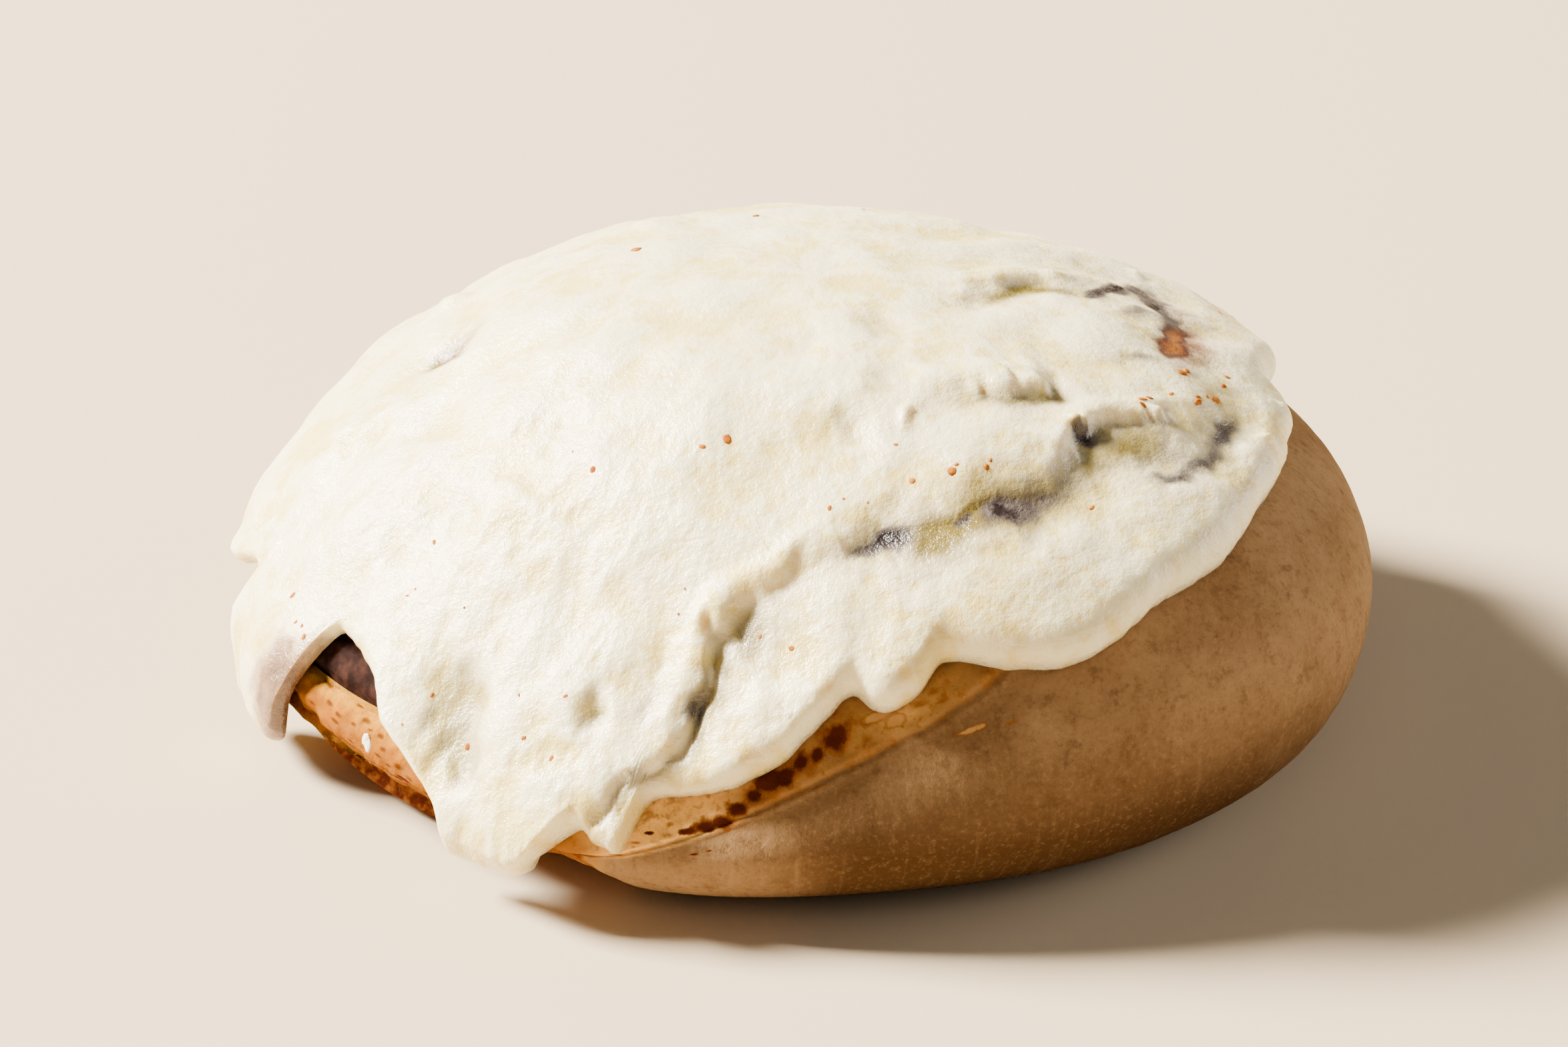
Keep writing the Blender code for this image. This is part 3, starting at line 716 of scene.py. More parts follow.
# %% [markdown]
# ## The filling
#
# Butter, sugar and cinnamon melt into a dark paste between the turns. It shows as a smooth, moist
# band at the left, where the tail has sunk away from the turn behind it. It could fill the gap from
# wall to wall, but little more than its top is ever seen. So it is a ribbon that stands in the gap,
# with a rounded top edge and small runs.

# %% The band between the turns
FILLING_HALF = 0.8 * MM
FILLING_SPREAD = 1.0 * MM
FILLING_FOOT = 1.0 * MM
FILLING_BELOW_BUN = 0.25 * MM
FOOT_LIFT = 1.2                 # the foot rises by this share of the tail's lift
RUN_HEIGHT = 0.22 * MM
FILLING_STRETCHES = [(8.0, 120.0, 0.75), (120.0, 1048.1, 4.0)]
# Round the ribbon: height from its foot to its top, side in half widths, spread at the top.
RIBBON = [(0, -1, 0), (0, 1, 0), (0.25, 1, 0), (0.5, 1, 0), (0.7, 1, 0), (0.85, 1, 0),
          (0.96, 0.8, 0.3), (1, 0.3, 0.3), (1, -0.3, -0.7), (0.96, -0.8, -1.3), (0.85, -1, -1.1),
          (0.7, -1, -0.3), (0.5, -1, 0), (0.25, -1, 0)]

fill_turned = np.concatenate([np.arange(*stretch) for stretch in FILLING_STRETCHES])[:, None]
fill_direction = TAIL_DIRECTION + fill_turned
fill_rim = outline(fill_direction)
fill_middle = np.maximum(along(GAP_SHARE, fill_turned) * fill_rim, EYE_HOLE + GAP / 2.0)
fill_foot = base_height(fill_middle / fill_rim, fill_direction) + FILLING_FOOT
fill_foot = fill_foot + FOOT_LIFT * tail_lift(fill_turned)
rise, side, spread = np.array(RIBBON, float).T
fill_radius = np.maximum(fill_middle + FILLING_HALF * side + FILLING_SPREAD * spread, 0.1 * MM)
fill_top = top_height(fill_radius / fill_rim, fill_direction) - FILLING_BELOW_BUN
fill_height = fill_foot + (fill_top - fill_foot) * rise
runs = unevenness(to_space(fill_radius, fill_direction, fill_height), 2.6 * MM, 2.0)
fill_radius = fill_radius + RUN_HEIGHT * runs * (rise > 0.3)
print("ribbon of", fill_radius.shape, "points")

# %% Cinnamon paste finish
PASTE_DARK = (0.010, 0.004, 0.003)
PASTE_BROWN = (0.035, 0.014, 0.010)

paste = Finish("cinnamon_paste")
swirls = paste.noise(2.0 * MM, detail=4.0, roughness=0.6)
paste.surface(Base_Color=paste.coats(PASTE_DARK, (paste.ramp(swirls, 0.35, 0.7), PASTE_BROWN)),
              Normal=paste.bumps((swirls, 0.12 * MM)), Roughness=0.75, Specular_IOR_Level=0.03)
filling_band = make_piece("filling_band", to_space(fill_radius, fill_direction, fill_height),
                          grid_faces(*fill_radius.shape, capped=True), paste)
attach(filling_band, "root")
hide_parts("filling")

# %% [markdown]
# ## The icing
#
# Thick icing behaves like slow mud: it keeps the folds left by the spatula, rounds over at its edge,
# and runs furthest where the wall is steepest. A fluid simulation would run for hours to reach a shape
# that cannot be steered. A shell over the bun is steered easily: for each direction it says how far
# down the icing has run, and for each place how thick it is.

# %% How far the icing runs
# Direction: drape value of the icing's edge.
ICING_EDGE = {
    -179: 0.875, -177: 0.85, -174.5: 0.8, -172: 0.785, -171: 0.81, -170.2: 0.93, -169.4: 1.04,
    -168: 1.1, -164: 1.1, -160: 1.09, -158: 1.075, -156.4: 1.04, -155.6: 0.97, -155.1: 0.87,
    -154.6: 0.76, -153.8: 0.685, -152: 0.672, -149.5: 0.672, -147: 0.685, -144: 0.712, -141: 0.772,
    -137.5: 0.81, -134.5: 0.855, -132.5: 0.895, -130.8: 0.94, -129.8: 0.98, -128.8: 1.04, -127.5: 1.047,
    -125: 1.045, -119.75: 1.03, -118.75: 1, -117.5: 0.94, -116: 0.87, -114.6: 0.835, -113.6: 0.85,
    -112.6: 0.885, -111: 0.9, -109.8: 0.91, -108.8: 0.8, -107.8: 0.736, -106: 0.714, -104: 0.712,
    -100: 0.709, -96: 0.688, -93: 0.668, -89.5: 0.622, -87: 0.591, -85.5: 0.571, -84: 0.571, -82: 0.605,
    -80.3: 0.621, -78.6: 0.615, -76.4: 0.603, -73.5: 0.564, -70: 0.58, -67: 0.612, -64.5: 0.625,
    -62: 0.642, -59: 0.655, -55.5: 0.646, -52.5: 0.636, -49: 0.612, -45: 0.605, -41: 0.603, -38: 0.597,
    -34: 0.583, -29: 0.562, -21: 0.55, -15: 0.549, -11: 0.547, -7: 0.56, -4: 0.55, -2: 0.52, 2: 0.525,
    6: 0.545, 14: 0.6, 22: 0.605, 28: 0.65, 33: 0.76, 38: 0.775, 44: 0.69, 52: 0.645, 62: 0.6,
    70: 0.665, 77: 0.78, 83: 0.9, 88: 0.86, 93: 0.72, 104: 0.665, 114: 0.7, 122: 0.87, 128: 0.93,
    134: 0.88, 140: 0.745, 150: 0.79, 160: 0.76, 168: 0.755, 173: 0.81, 177: 0.875}
# Direction: thickness in millimetres.
ICING_THICKNESS = {
    -178: 2, -171: 1.6, -163: 2.2, -152: 2, -143: 2.6, -133: 3.2, -122: 4.4, -105: 4.8, -80: 4.8,
    -55: 5.2, -30: 5.2, 0: 4.6, 40: 4, 90: 3.8, 130: 3.4}
CREST_THICKNESS = 4.85 * MM
ROUNDING_SHARE = 1.2
# The edge is a little ragged: by how much of the drape, size on a circle of radius 1, seed.
RAGGED = [(0.006, 0.07, 1.0), (0.003, 0.025, 4.0)]


def icing_reach(direction):
    """How far down the drape the icing runs."""
    place = np.stack([np.cos(np.radians(direction)), np.sin(np.radians(direction))], -1)
    return around(ICING_EDGE, direction) + sum(amount * unevenness(place, size, seed)
                                               for amount, size, seed in RAGGED)


print("the icing's edge has", len(ICING_EDGE), "points")

# %% The grid of the icing
FRONT_COLUMNS, BACK_COLUMNS = 500, 250
TOP_ROWS, EDGE_ROWS, UNDER_ROWS = 92, 16, 10
MEAN_REACH = 0.6
ROW_SPREAD = 1.1                # more than 1 draws the rows together at the crest

icing_direction = np.concatenate([np.linspace(-180.0, 0.0, FRONT_COLUMNS, endpoint=False),
                                  np.linspace(0.0, 180.0, BACK_COLUMNS, endpoint=False)])[None, :]
reach = icing_reach(icing_direction)
edge_thickness = around(ICING_THICKNESS, icing_direction) * MM
rounding_width = ROUNDING_SHARE * edge_thickness
inner_reach = reach - rounding_width / DRAPE_LENGTH
outward = (np.arange(TOP_ROWS) / TOP_ROWS)[:, None]
top_drape = (MEAN_REACH + (inner_reach - MEAN_REACH) * outward ** 2) * outward ** ROW_SPREAD
edge_share = np.cos(np.linspace(0.0, math.pi / 2.0, EDGE_ROWS + 1))[:, None]
icing_drape = np.concatenate([top_drape, reach - edge_share * rounding_width / DRAPE_LENGTH], 0)
icing_turn = np.repeat(icing_direction, icing_drape.shape[0], 0)
print("icing grid", icing_drape.shape)

# %% [markdown]
# ### Folds and furrows
#
# The longest mark in the icing is a fold: the upper mass has slid over the lower band, from the
# long drip at the front up to the right. Seen across, it is a rounded lip, a steep side, a narrow
# furrow, and then the band rising slowly again. A brush in sculpt mode could draw it, but a line of
# points keeps it exactly where it is meant to be, and can be changed later. The distance from each
# point of the grid to that line, counted as positive on the upper side, is all that the profile
# needs.

# %% Distance to a line on the roll
# The plan is shifted a little at every place, so that no drawn line stays smooth: size of the
# waves and shift in millimetres, and a seed for each axis.
WAVERING = [(8.0, 2.2, (21.0, 22.0)), (2.4, 0.9, (23.0, 24.0))]

icing_plan = plan_points(icing_drape, icing_turn)
wavy_plan = icing_plan
for size, shift, seeds in WAVERING:
    waves = [unevenness(icing_plan, size * MM, seed) for seed in seeds]
    wavy_plan = wavy_plan + np.stack(waves, -1) * shift * MM


def distance_to_line(points):
    """Every place's signed distance, positive to the line's left, and after it the line's own
    values there. Each point of the line is a direction, a drape value and those values."""
    line = plan_points(*(np.array(column, float) for column in list(zip(*points))[1::-1]))
    nearest = np.full(icing_drape.shape, 1.0)
    signed = np.full(icing_drape.shape, 1.0)
    course = np.zeros(icing_drape.shape)
    for number, (start, end) in enumerate(zip(line, line[1:])):
        way, off = end - start, wavy_plan - start
        share = np.clip((off @ way) / (way @ way), 0.0, 1.0)
        side = np.sign(way[0] * off[..., 1] - way[1] * off[..., 0])
        distance = np.linalg.norm(off - share[..., None] * way, axis=-1)
        closer = distance < nearest
        nearest = np.where(closer, distance, nearest)
        signed = np.where(closer, distance * side, signed)
        course = np.where(closer, number + share, course)
    values = list(zip(*points))[2:]
    return signed, *(np.interp(course, range(len(points)), column) for column in values)


print("lines waver by up to", round(float(np.abs(wavy_plan - icing_plan).max()) / MM, 1), "mm")

# %% Folds, strokes and spots
FURROW_WIDTH = 0.42 * MM
FURROW_DEPTH = 0.7 * MM
LIP_WIDTH = 0.8                 # in mm; its middle also lies this far above the slope
LIP_SPREAD = 0.35               # and it widens by this share of the slope's width


def fold(points):
    """A fold's height over the icing, and its tint, which is painted shade on its slope and in its
    furrow. Each point of its line has a direction, drape value, depth, width of the upper and lower
    slope, crispness, tint and height of the lip."""
    signed, depth, upper, lower, crisp, tint, lip = distance_to_line(points)
    up = np.clip(signed / (upper * MM), 0.0, 1.0)
    down = np.clip(-signed / (lower * MM), 0.0, None)
    rounded = 1.0 - np.sqrt(1.0 - (1.0 - up) ** 2)
    sloping = 1.0 - smooth(up)
    above = sloping + (rounded - sloping) * np.clip(crisp, 0.0, 1.0)
    shape = np.where(signed > 0.0, above, np.exp(-down ** 2))
    furrow = crisp * np.exp(-(signed / FURROW_WIDTH) ** 2)
    above_slope = signed / MM - upper - LIP_WIDTH
    raised = lip * np.exp(-(above_slope / (LIP_WIDTH + LIP_SPREAD * upper)) ** 2)
    shade = np.where(signed > 0.0, (1.0 - up) ** 1.5, np.exp(-(2.2 * down) ** 2))
    height = MM * (raised - depth * shape) - FURROW_DEPTH * furrow
    return height, tint * np.clip(shade + 0.35 * furrow, 0.0, 1.0)


def smear(points):
    """A soft stroke. Each point of its line has a direction, drape value, strength and half width."""
    signed, strength, width = distance_to_line(points)
    return strength * np.exp(-(signed / (width * MM)) ** 2)


def strongest(strokes):
    """The strongest of several soft strokes at each place."""
    return np.max([smear(points) for points in strokes], axis=0)


def spots(places):
    """The strongest of several round spots, each a direction, drape value, strength and half width."""
    weight = np.zeros(icing_drape.shape)
    for at, down, strength, width in places:
        off = wavy_plan - plan_points(np.array(down), np.array(float(at)))
        away = np.linalg.norm(off, axis=-1) / (width * MM)
        weight = np.maximum(weight, strength * np.exp(-away ** 2))
    return weight


print("the crispest furrow is", round(FURROW_DEPTH / MM, 1), "mm deep")

# %% The folds' lines
# Direction, drape value, depth, upper width, lower width (mm), crispness, tint of painted shade,
# lip (mm).
MAIN_FOLD = [
    (-118, 0.94, 0, 2.2, 3.6, 0, 0, 0), (-116, 0.9, 0.6, 2.2, 4.8, 0.3, 0.2, 0),
    (-114.2, 0.85, 0.9, 2.4, 6, 0.54, 0.4, 0), (-112, 0.78, 1.05, 2.6, 6, 0.6, 0.5, 0.2),
    (-109, 0.714, 1.12, 2.6, 6, 0.6, 0.5, 0.2), (-106, 0.663, 1.2, 2.6, 6, 0.6, 0.5, 0.2),
    (-104, 0.611, 1.27, 2.6, 5.4, 0.6, 0.55, 0.3), (-103.2, 0.56, 1.42, 2.6, 4.8, 0.72, 0.7, 0.4),
    (-102.6, 0.5, 1.42, 2.4, 4.8, 0.72, 0.6, 0.7), (-100.5, 0.46, 1.42, 2.4, 6, 0.54, 0.8, 0.9),
    (-98.5, 0.44, 1.58, 2.6, 7.2, 0.24, 1, 0.9), (-95.5, 0.417, 1.42, 3.3, 7.2, 0, 0.7, 0.8),
    (-90.5, 0.4, 0.66, 3.9, 8.5, 0, 0.25, 0.7), (-86.8, 0.393, 0.66, 4.4, 6.8, 0, 0.25, 0.5),
    (-82, 0.385, 0.88, 5, 6, 0, 0.35, 0.3), (-78.5, 0.366, 1.54, 5.5, 5.1, 0.06, 0.7, 0.2),
    (-74.5, 0.369, 1.43, 6.6, 6, 0.06, 0.8, 0.1), (-69.5, 0.375, 1.43, 7.2, 6, 0.09, 0.85, 0),
    (-65.8, 0.386, 1.54, 7.2, 4.4, 0.24, 0.9, 0), (-59.3, 0.384, 1.81, 7.2, 4.8, 0.27, 0.85, 0),
    (-55.5, 0.38, 1.81, 7.2, 5.8, 0.18, 0.8, 0), (-50.8, 0.375, 1.76, 6.1, 6.8, 0.12, 0.7, 0),
    (-47.2, 0.36, 1.65, 3.9, 7.6, 0.15, 0.7, 0.2), (-44, 0.335, 1.65, 1.8, 7.6, 0.24, 0.75, 0.3),
    (-41, 0.335, 1.43, 1.5, 7.6, 0.18, 0.7, 0.3), (-36, 0.35, 1.1, 1.5, 8.5, 0.12, 0.65, 0.4),
    (-31, 0.365, 0.66, 1.5, 7.6, 0.06, 0.45, 0.5), (-27, 0.375, 0, 1.5, 6.8, 0, 0, 0.2)]
UPPER_RIDGE = [
    (-88, 0.23, 0, 3.6, 4, 0, 0, 0), (-76, 0.213, 0.16, 3.6, 4, 0, 0.22, 0.33),
    (-66, 0.215, 0.21, 3.6, 4.5, 0, 0.33, 0.44), (-59.5, 0.226, 0.26, 3, 4.5, 0, 0.44, 0.55),
    (-53.5, 0.233, 0.37, 2.7, 4.5, 0, 0.66, 0.77), (-47.5, 0.25, 0.58, 2.4, 4, 0, 0.99, 0.99),
    (-41.5, 0.252, 0.63, 2.4, 3.5, 0, 0.99, 0.88), (-38, 0.235, 0.37, 2.1, 3, 0, 0.66, 0.55),
    (-35, 0.215, 0, 2.1, 3, 0, 0, 0.22)]
BACK_RIDGE = [
    (-20, 0.105, 0, 2.7, 4, 0, 0, 0), (-10, 0.115, 0.4, 3, 4.5, 0, 0.66, 0.5),
    (-5, 0.125, 0.64, 3, 5, 0, 1.1, 0.7), (-1, 0.15, 0.8, 3, 5, 0, 1.21, 0.7),
    (2, 0.18, 0.8, 3, 4.5, 0, 1.21, 0.7), (5, 0.21, 0.4, 3, 4, 0, 0.88, 0.4),
    (8, 0.24, 0, 2.7, 4, 0, 0, 0.2)]
print(len(MAIN_FOLD), "points on the main fold")

# %% Hollows, dimples and peaks
# Direction, drape value, depth and half width (mm).
BAND_FURROW = [
    (-39, 0.43, 0.3, 2.4), (-34.8, 0.441, 0.8, 2.8), (-30.8, 0.447, 1.1, 3), (-25.2, 0.455, 1.3, 3.2),
    (-20, 0.452, 1.2, 3), (-15, 0.44, 0.5, 2.6)]
OPENING = [
    (27, 0.21, 0.3, 3), (22.5, 0.25, 0.5, 3.4), (21, 0.29, 0.6, 3.4), (19, 0.33, 0.7, 3.4),
    (16, 0.352, 0.8, 3.6), (9, 0.356, 0.9, 3.8), (2, 0.35, 0.9, 3.8), (-5, 0.343, 0.7, 3.4),
    (-11, 0.335, 0.3, 3)]
TONGUE_HOLLOW = [
    (-136, 0.57, 0.6, 3.2), (-133.5, 0.634, 1.5, 3.2), (-131, 0.695, 2, 3.2), (-128.8, 0.762, 1.7, 3),
    (-126.5, 0.81, 0.6, 2.6)]
# The tint of each hollow is painted shade.
HOLLOWS = [(BAND_FURROW, 0.3), (OPENING, 0.25), (TONGUE_HOLLOW, 0.72)]      # each with its tint
# Painted shade, dark yellow under the fold where the icing is thin: direction, drape value,
# strength, half width (mm).
FOLD_SHADE = [
    (-77, 0.374, 0.5, 2.8), (-74, 0.378, 1.2, 3.2), (-69.5, 0.385, 1.45, 3.4), (-64.5, 0.388, 1.4, 3.4),
    (-59.5, 0.386, 1.1, 3.4), (-53, 0.378, 0.85, 3.2), (-48, 0.372, 0.75, 3), (-43, 0.375, 0.9, 3),
    (-39, 0.384, 1.05, 3.2), (-35, 0.386, 1, 3.2), (-30, 0.38, 0.5, 3)]
# Dimples: direction, drape value, depth, half width (mm) and tint of painted shade.
DIMPLES = [
    (174.6, 0.336, 1.5, 2.6, 1.4), (173, 0.315, 0.7, 4, 0.8), (-115.5, 0.579, 1.4, 2.2, 0.9),
    (-109, 0.53, 0.8, 3, 0.5), (-92, 0.085, 0.7, 3.2, 0.4), (-56, 0.09, 0.9, 3, 0.5),
    (-71, 0.157, 0.8, 3, 0.6), (-79, 0.216, 0.8, 2.6, 0.5), (-16, 0.105, 0.7, 2.6, 0.4),
    (60, 0.012, 0.8, 3.6, 0.3), (-150, 0.42, 0.6, 4, 0.2), (100, 0.4, 1, 5, 0.4),
    (60, 0.42, 0.8, 4, 0.3), (-95, 0.61, 0.6, 3, 0.4), (-84, 0.5, 0.5, 3.4, 0.3),
    (-125, 0.4, 0.6, 4, 0.2), (-145, 0.25, 0.6, 4.5, 0.2), (-50, 0.47, 0.5, 3, 0.3)]
# Small peaks that the spatula pulled up: direction, drape value, height and half width (mm).
PEAKS = [
    (-43.6, 0.322, 1.5, 0.9), (-41.6, 0.318, 0.8, 0.8), (-30.6, 0.362, 1.4, 0.8),
    (-33, 0.352, 0.7, 0.9), (-42.8, 0.236, 1.1, 0.9), (-46.8, 0.23, 0.9, 0.8), (-52, 0.224, 0.6, 0.9),
    (-65.9, 0.209, 0.8, 0.8), (-19.8, 0.505, 1, 0.9), (-9, 0.515, 0.9, 0.8), (-24.5, 0.535, 0.7, 0.9),
    (23, 0.35, 0.8, 0.9), (11, 0.2, 0.7, 1.2), (158, 0.4, 1.2, 2.2), (-109, 0.69, 0.8, 1),
    (-103.5, 0.5, 0.7, 1.2), (-101, 0.43, 0.7, 1.2)]
print(len(HOLLOWS), "hollows,", len(DIMPLES), "dimples and", len(PEAKS), "peaks")

# %% Heights of the folds and hollows
relief_height = MM * spots(PEAKS)
# The hollow value is painted shade for the colour: in the folds, hollows and dimples.
hollowness = smear(FOLD_SHADE)
for points in (MAIN_FOLD, UPPER_RIDGE, BACK_RIDGE):
    height, tint = fold(points)
    relief_height = relief_height + height
    hollowness = np.maximum(hollowness, tint)
for points, tint in HOLLOWS:
    depth = smear(points)
    relief_height = relief_height - MM * depth
    hollowness = np.maximum(hollowness, tint * np.clip(depth, 0.0, 1.0))
for at, down, depth, width, tint in DIMPLES:
    dimple = spots([(at, down, 1.0, width)])
    relief_height = relief_height - MM * depth * dimple
    hollowness = np.maximum(hollowness, tint * dimple)
print("relief from", round(relief_height.min() / MM, 2), "to", round(relief_height.max() / MM, 2), "mm")

# %% Lumps
# Billows are rounded lumps with sharp valleys between them, like curd or wet plaster.
bun_radius, bun_height = drape_profile(icing_drape, icing_turn)
icing_base = to_space(bun_radius, icing_turn, bun_height)
swells = unevenness(icing_base, 17.0 * MM, 11.0)
lumps = unevenness(icing_base, 6.5 * MM, 12.0)
billows = 0.5 - 2.0 * np.abs(unevenness(icing_base, 4.2 * MM, 13.0))
curds = 0.5 - 2.0 * np.abs(unevenness(icing_base, 2.0 * MM, 14.0))
grains = unevenness(icing_base, 1.1 * MM, 15.0)
# The front left side is the roughest.
rough_side = smooth(icing_turn, -75.0, -115.0) * smooth(icing_turn, -200.0, -170.0)
rough_side = rough_side * smooth(icing_drape, 0.15, 0.40)
rough_side = np.clip(0.3 + 0.8 * rough_side + 0.5 * swells, 0.12, 1.2)
lump_height = MM * (0.85 * swells + 0.60 * lumps + 0.17 * rough_side * billows
                    + 0.11 * rough_side * curds + 0.07 * grains)
raised = np.clip(0.5 + 0.55 * lumps + 0.5 * rough_side * billows + 0.35 * curds, 0.0, 1.0)
print("lumps up to", round(float(lump_height.max()) / MM, 2), "mm high")

# %% [markdown]
# ### Thickness and marks
#
# The thickness of the icing is its full height plus all of that, rounded to nothing at the edge. Under
# the deepest marks the icing is nearly gone and the dark filling looms through it. Real holes would
# need the filling under them at just the right depth, so the mesh stores how dark and how hollow
# each place is instead, for the colour. The grey around the dark marks and the yellow in the hollows
# are painted shade.

# %% Thickness of the icing
ICING_CLEARANCE = 0.5 * MM
THINNEST = 0.6 * MM
SOFTENING = 0.4 * MM            # how softly the thickness stops at its least
CREST_PART = 0.45               # the crest's thickness gives way to the edge's within this drape value

full = CREST_THICKNESS + (edge_thickness - CREST_THICKNESS) * smooth(icing_drape, 0.0, CREST_PART)
full = full + lump_height + relief_height
full = THINNEST + np.logaddexp(0.0, (full - THINNEST) / SOFTENING) * SOFTENING
rounding = np.clip((reach - icing_drape) * DRAPE_LENGTH / rounding_width, 0.0, 1.0)
thickness = full * np.sqrt(1.0 - (1.0 - rounding) ** 2)
crest_thickness = full[0].mean()
thickness[0] = crest_thickness
print("icing from", round(full.min() / MM, 2), "to", round(full.max() / MM, 2), "mm thick")

# %% Where the filling looms through, and painted shade around it
# Dark strokes, each a run of points: direction, drape value, strength and half width (mm). A
# narrow stroke often lies in a wide, weak one, which paints grey shade around it.
DARK_STROKES = [
    [(-79.8, 0.365, 0.8, 1.5), (-78.3, 0.371, 1.75, 1.5), (-76.8, 0.377, 0.8, 1.5)],
    [(-82, 0.368, 0.2, 3), (-78.6, 0.373, 0.5, 3.4), (-75, 0.38, 0.25, 3)],
    [(-67, 0.384, 0.86, 0.8), (-65.4, 0.39, 0.92, 0.9)],
    [(-62.2, 0.396, 0.8, 1.3), (-60.6, 0.397, 1.5, 1.5), (-59, 0.394, 1.1, 1.5), (-56, 0.389, 0.7, 1.7),
     (-52.4, 0.384, 0.5, 1.8), (-48.6, 0.376, 0.35, 1.8)],
    [(-64, 0.394, 0.15, 3), (-59.5, 0.394, 0.45, 3.6), (-52, 0.382, 0.35, 3.4), (-46, 0.362, 0.25, 3)],
    [(-44.2, 0.33, 0.8, 1), (-42.4, 0.337, 1.21, 1.3), (-40.4, 0.346, 0.5, 1.2)],
    [(-41.5, 0.448, 0.45, 1), (-37.5, 0.45, 0.85, 1.2), (-34.2, 0.446, 0.6, 1.4),
     (-31.3, 0.444, 0.8, 1.5), (-27.5, 0.444, 0.6, 1.6), (-24.2, 0.446, 0.85, 1.7),
     (-21, 0.443, 0.65, 1.6), (-18, 0.438, 0.3, 1.5)],
    [(-39, 0.45, 0.2, 3), (-31, 0.452, 0.38, 4.2), (-24.5, 0.446, 0.34, 4), (-17.5, 0.436, 0.2, 3.4)],
    [(-103.7, 0.52, 0.4, 0.6), (-103.4, 0.545, 0.86, 0.7)],
    [(27, 0.244, 0.2, 2.4), (23.5, 0.28, 0.25, 2.2), (21, 0.31, 0.25, 2)],
    [(17.5, 0.212, 0.25, 1.8), (12.2, 0.222, 0.32, 1.8), (6, 0.236, 0.4, 1.5)],
    [(4.5, 0.236, 0.9, 1.3), (7, 0.248, 1.25, 1.6), (10.5, 0.274, 1.25, 1.6), (13.5, 0.305, 0.7, 1.5),
     (16, 0.335, 1.3, 1.8), (13.5, 0.345, 1.35, 1.9), (9, 0.338, 1.4, 1.9), (4.5, 0.328, 1.3, 1.7),
     (1.5, 0.322, 0.8, 1.4)],
    [(3, 0.236, 0.3, 2.8), (12, 0.29, 0.36, 3.2), (6, 0.33, 0.3, 3)],
    [(-1.5, 0.272, 0.4, 1.2), (0.5, 0.285, 0.62, 1.3), (1.5, 0.3, 0.5, 1.2)],
    [(-23.5, 0.268, 0.2, 1.6), (-20.5, 0.281, 0.42, 1.3), (-18.8, 0.3, 0.6, 1.2),
     (-16, 0.315, 0.35, 1.2)]]
# An amber line of syrup, and tan-brown stains, in the same way. The first runs down the left drip's
# inner side: the crust showing through, and painted shade.
AMBER_LINE = [
    (6, 0.334, 0.6, 1.5), (1.5, 0.336, 1, 1.8), (-3.5, 0.336, 1.4, 1.9), (-8.5, 0.333, 1.3, 1.8),
    (-12.5, 0.333, 0.6, 1.4)]
STAINS_AND_SHADE = [
    [(-155.5, 0.76, 0.8, 2.4), (-156, 0.86, 1.2, 3.6), (-157, 0.95, 1.3, 4.2), (-157.5, 1.08, 1.2, 4)],
    [(12, 0.372, 0.5, 2.6), (1, 0.366, 0.9, 3.4), (-7.6, 0.362, 0.9, 3.6), (-14, 0.35, 0.6, 3)],
    [(-25, 0.385, 0.25, 2.4), (-17, 0.404, 0.3, 2.4)],
    [(176, 0.33, 0.75, 2), (173, 0.338, 0.75, 2)],
    [(-66, 0.315, 0.22, 2.4), (-58, 0.325, 0.22, 2.4)]]

looming_and_shade, amber, stained_and_shaded = (strongest(strokes) for strokes in (DARK_STROKES, [AMBER_LINE], STAINS_AND_SHADE))
print("dark on", round(float((looming_and_shade > 0.7).mean()) * 100, 2), "% of the icing's points")

# %% [markdown]
# ### The look of icing
#
# Icing is sugar, butter and air: light goes a few millimetres in before it comes back out, so edges
# glow and hollows turn a warm, slightly greenish yellow. Plain white paint would look like plaster.
# Subsurface scattering lets the edges glow, and the stored hollow value paints the hollows a dark
# greenish yellow, as painted shade. The surface is moist and finely crystalline: a grain far too
# small for the mesh is left to bump, with a wide soft gloss.

# %% Icing finish
ICING_WHITE = (0.97, 0.87, 0.58)
ICING_CREAM = (0.84, 0.69, 0.25)
# Colours of painted shade: the dark yellow of the hollows and the grey around the dark marks.
HOLLOW_YELLOW = (0.19, 0.140, 0.020)
LOOM_AND_SHADE_GREY = (0.10, 0.080, 0.070)
LOOM_DARK = (0.016, 0.010, 0.010)
SYRUP_DARK = (0.07, 0.018, 0.005)
AMBER = (0.34, 0.105, 0.001)
STAIN_AND_SHADE_TAN = (0.26, 0.14, 0.07)
STAIN_AND_SHADE_BROWN = (0.045, 0.026, 0.015)

icing = Finish("cream_icing")
sugar = icing.noise(0.45 * MM, detail=2.0, roughness=0.8)
crystal = icing.noise(0.8 * MM, detail=3.0, roughness=0.7)
curdle = icing.noise(2.4 * MM, detail=4.0, roughness=0.65)
cloud = icing.noise(14.0 * MM, detail=2.0)
mottling = icing.ramp(icing.noise(4.0 * MM), 0.0, 1.0, 0.6, 1.15, "LINEAR")
crystal_edge = icing.plus(-0.5, crystal)
ragged = icing.plus(-0.55, icing.noise(2.4 * MM, detail=2.0), 1.1)
whiteness = icing.plus(icing.plus(icing.stored("raised"), cloud, 0.6), crystal_edge)
# The hollow value paints shade in the hollows and folds.
hollow = icing.plus(0.0, icing.stored("hollow"), mottling)
# Part of the stain is painted shade, on the left drip's inner side.
stain_and_shade = icing.plus(icing.stored("stained_and_shaded"), ragged, 0.6)
syrup = icing.plus(icing.stored("amber"), ragged, 0.45)
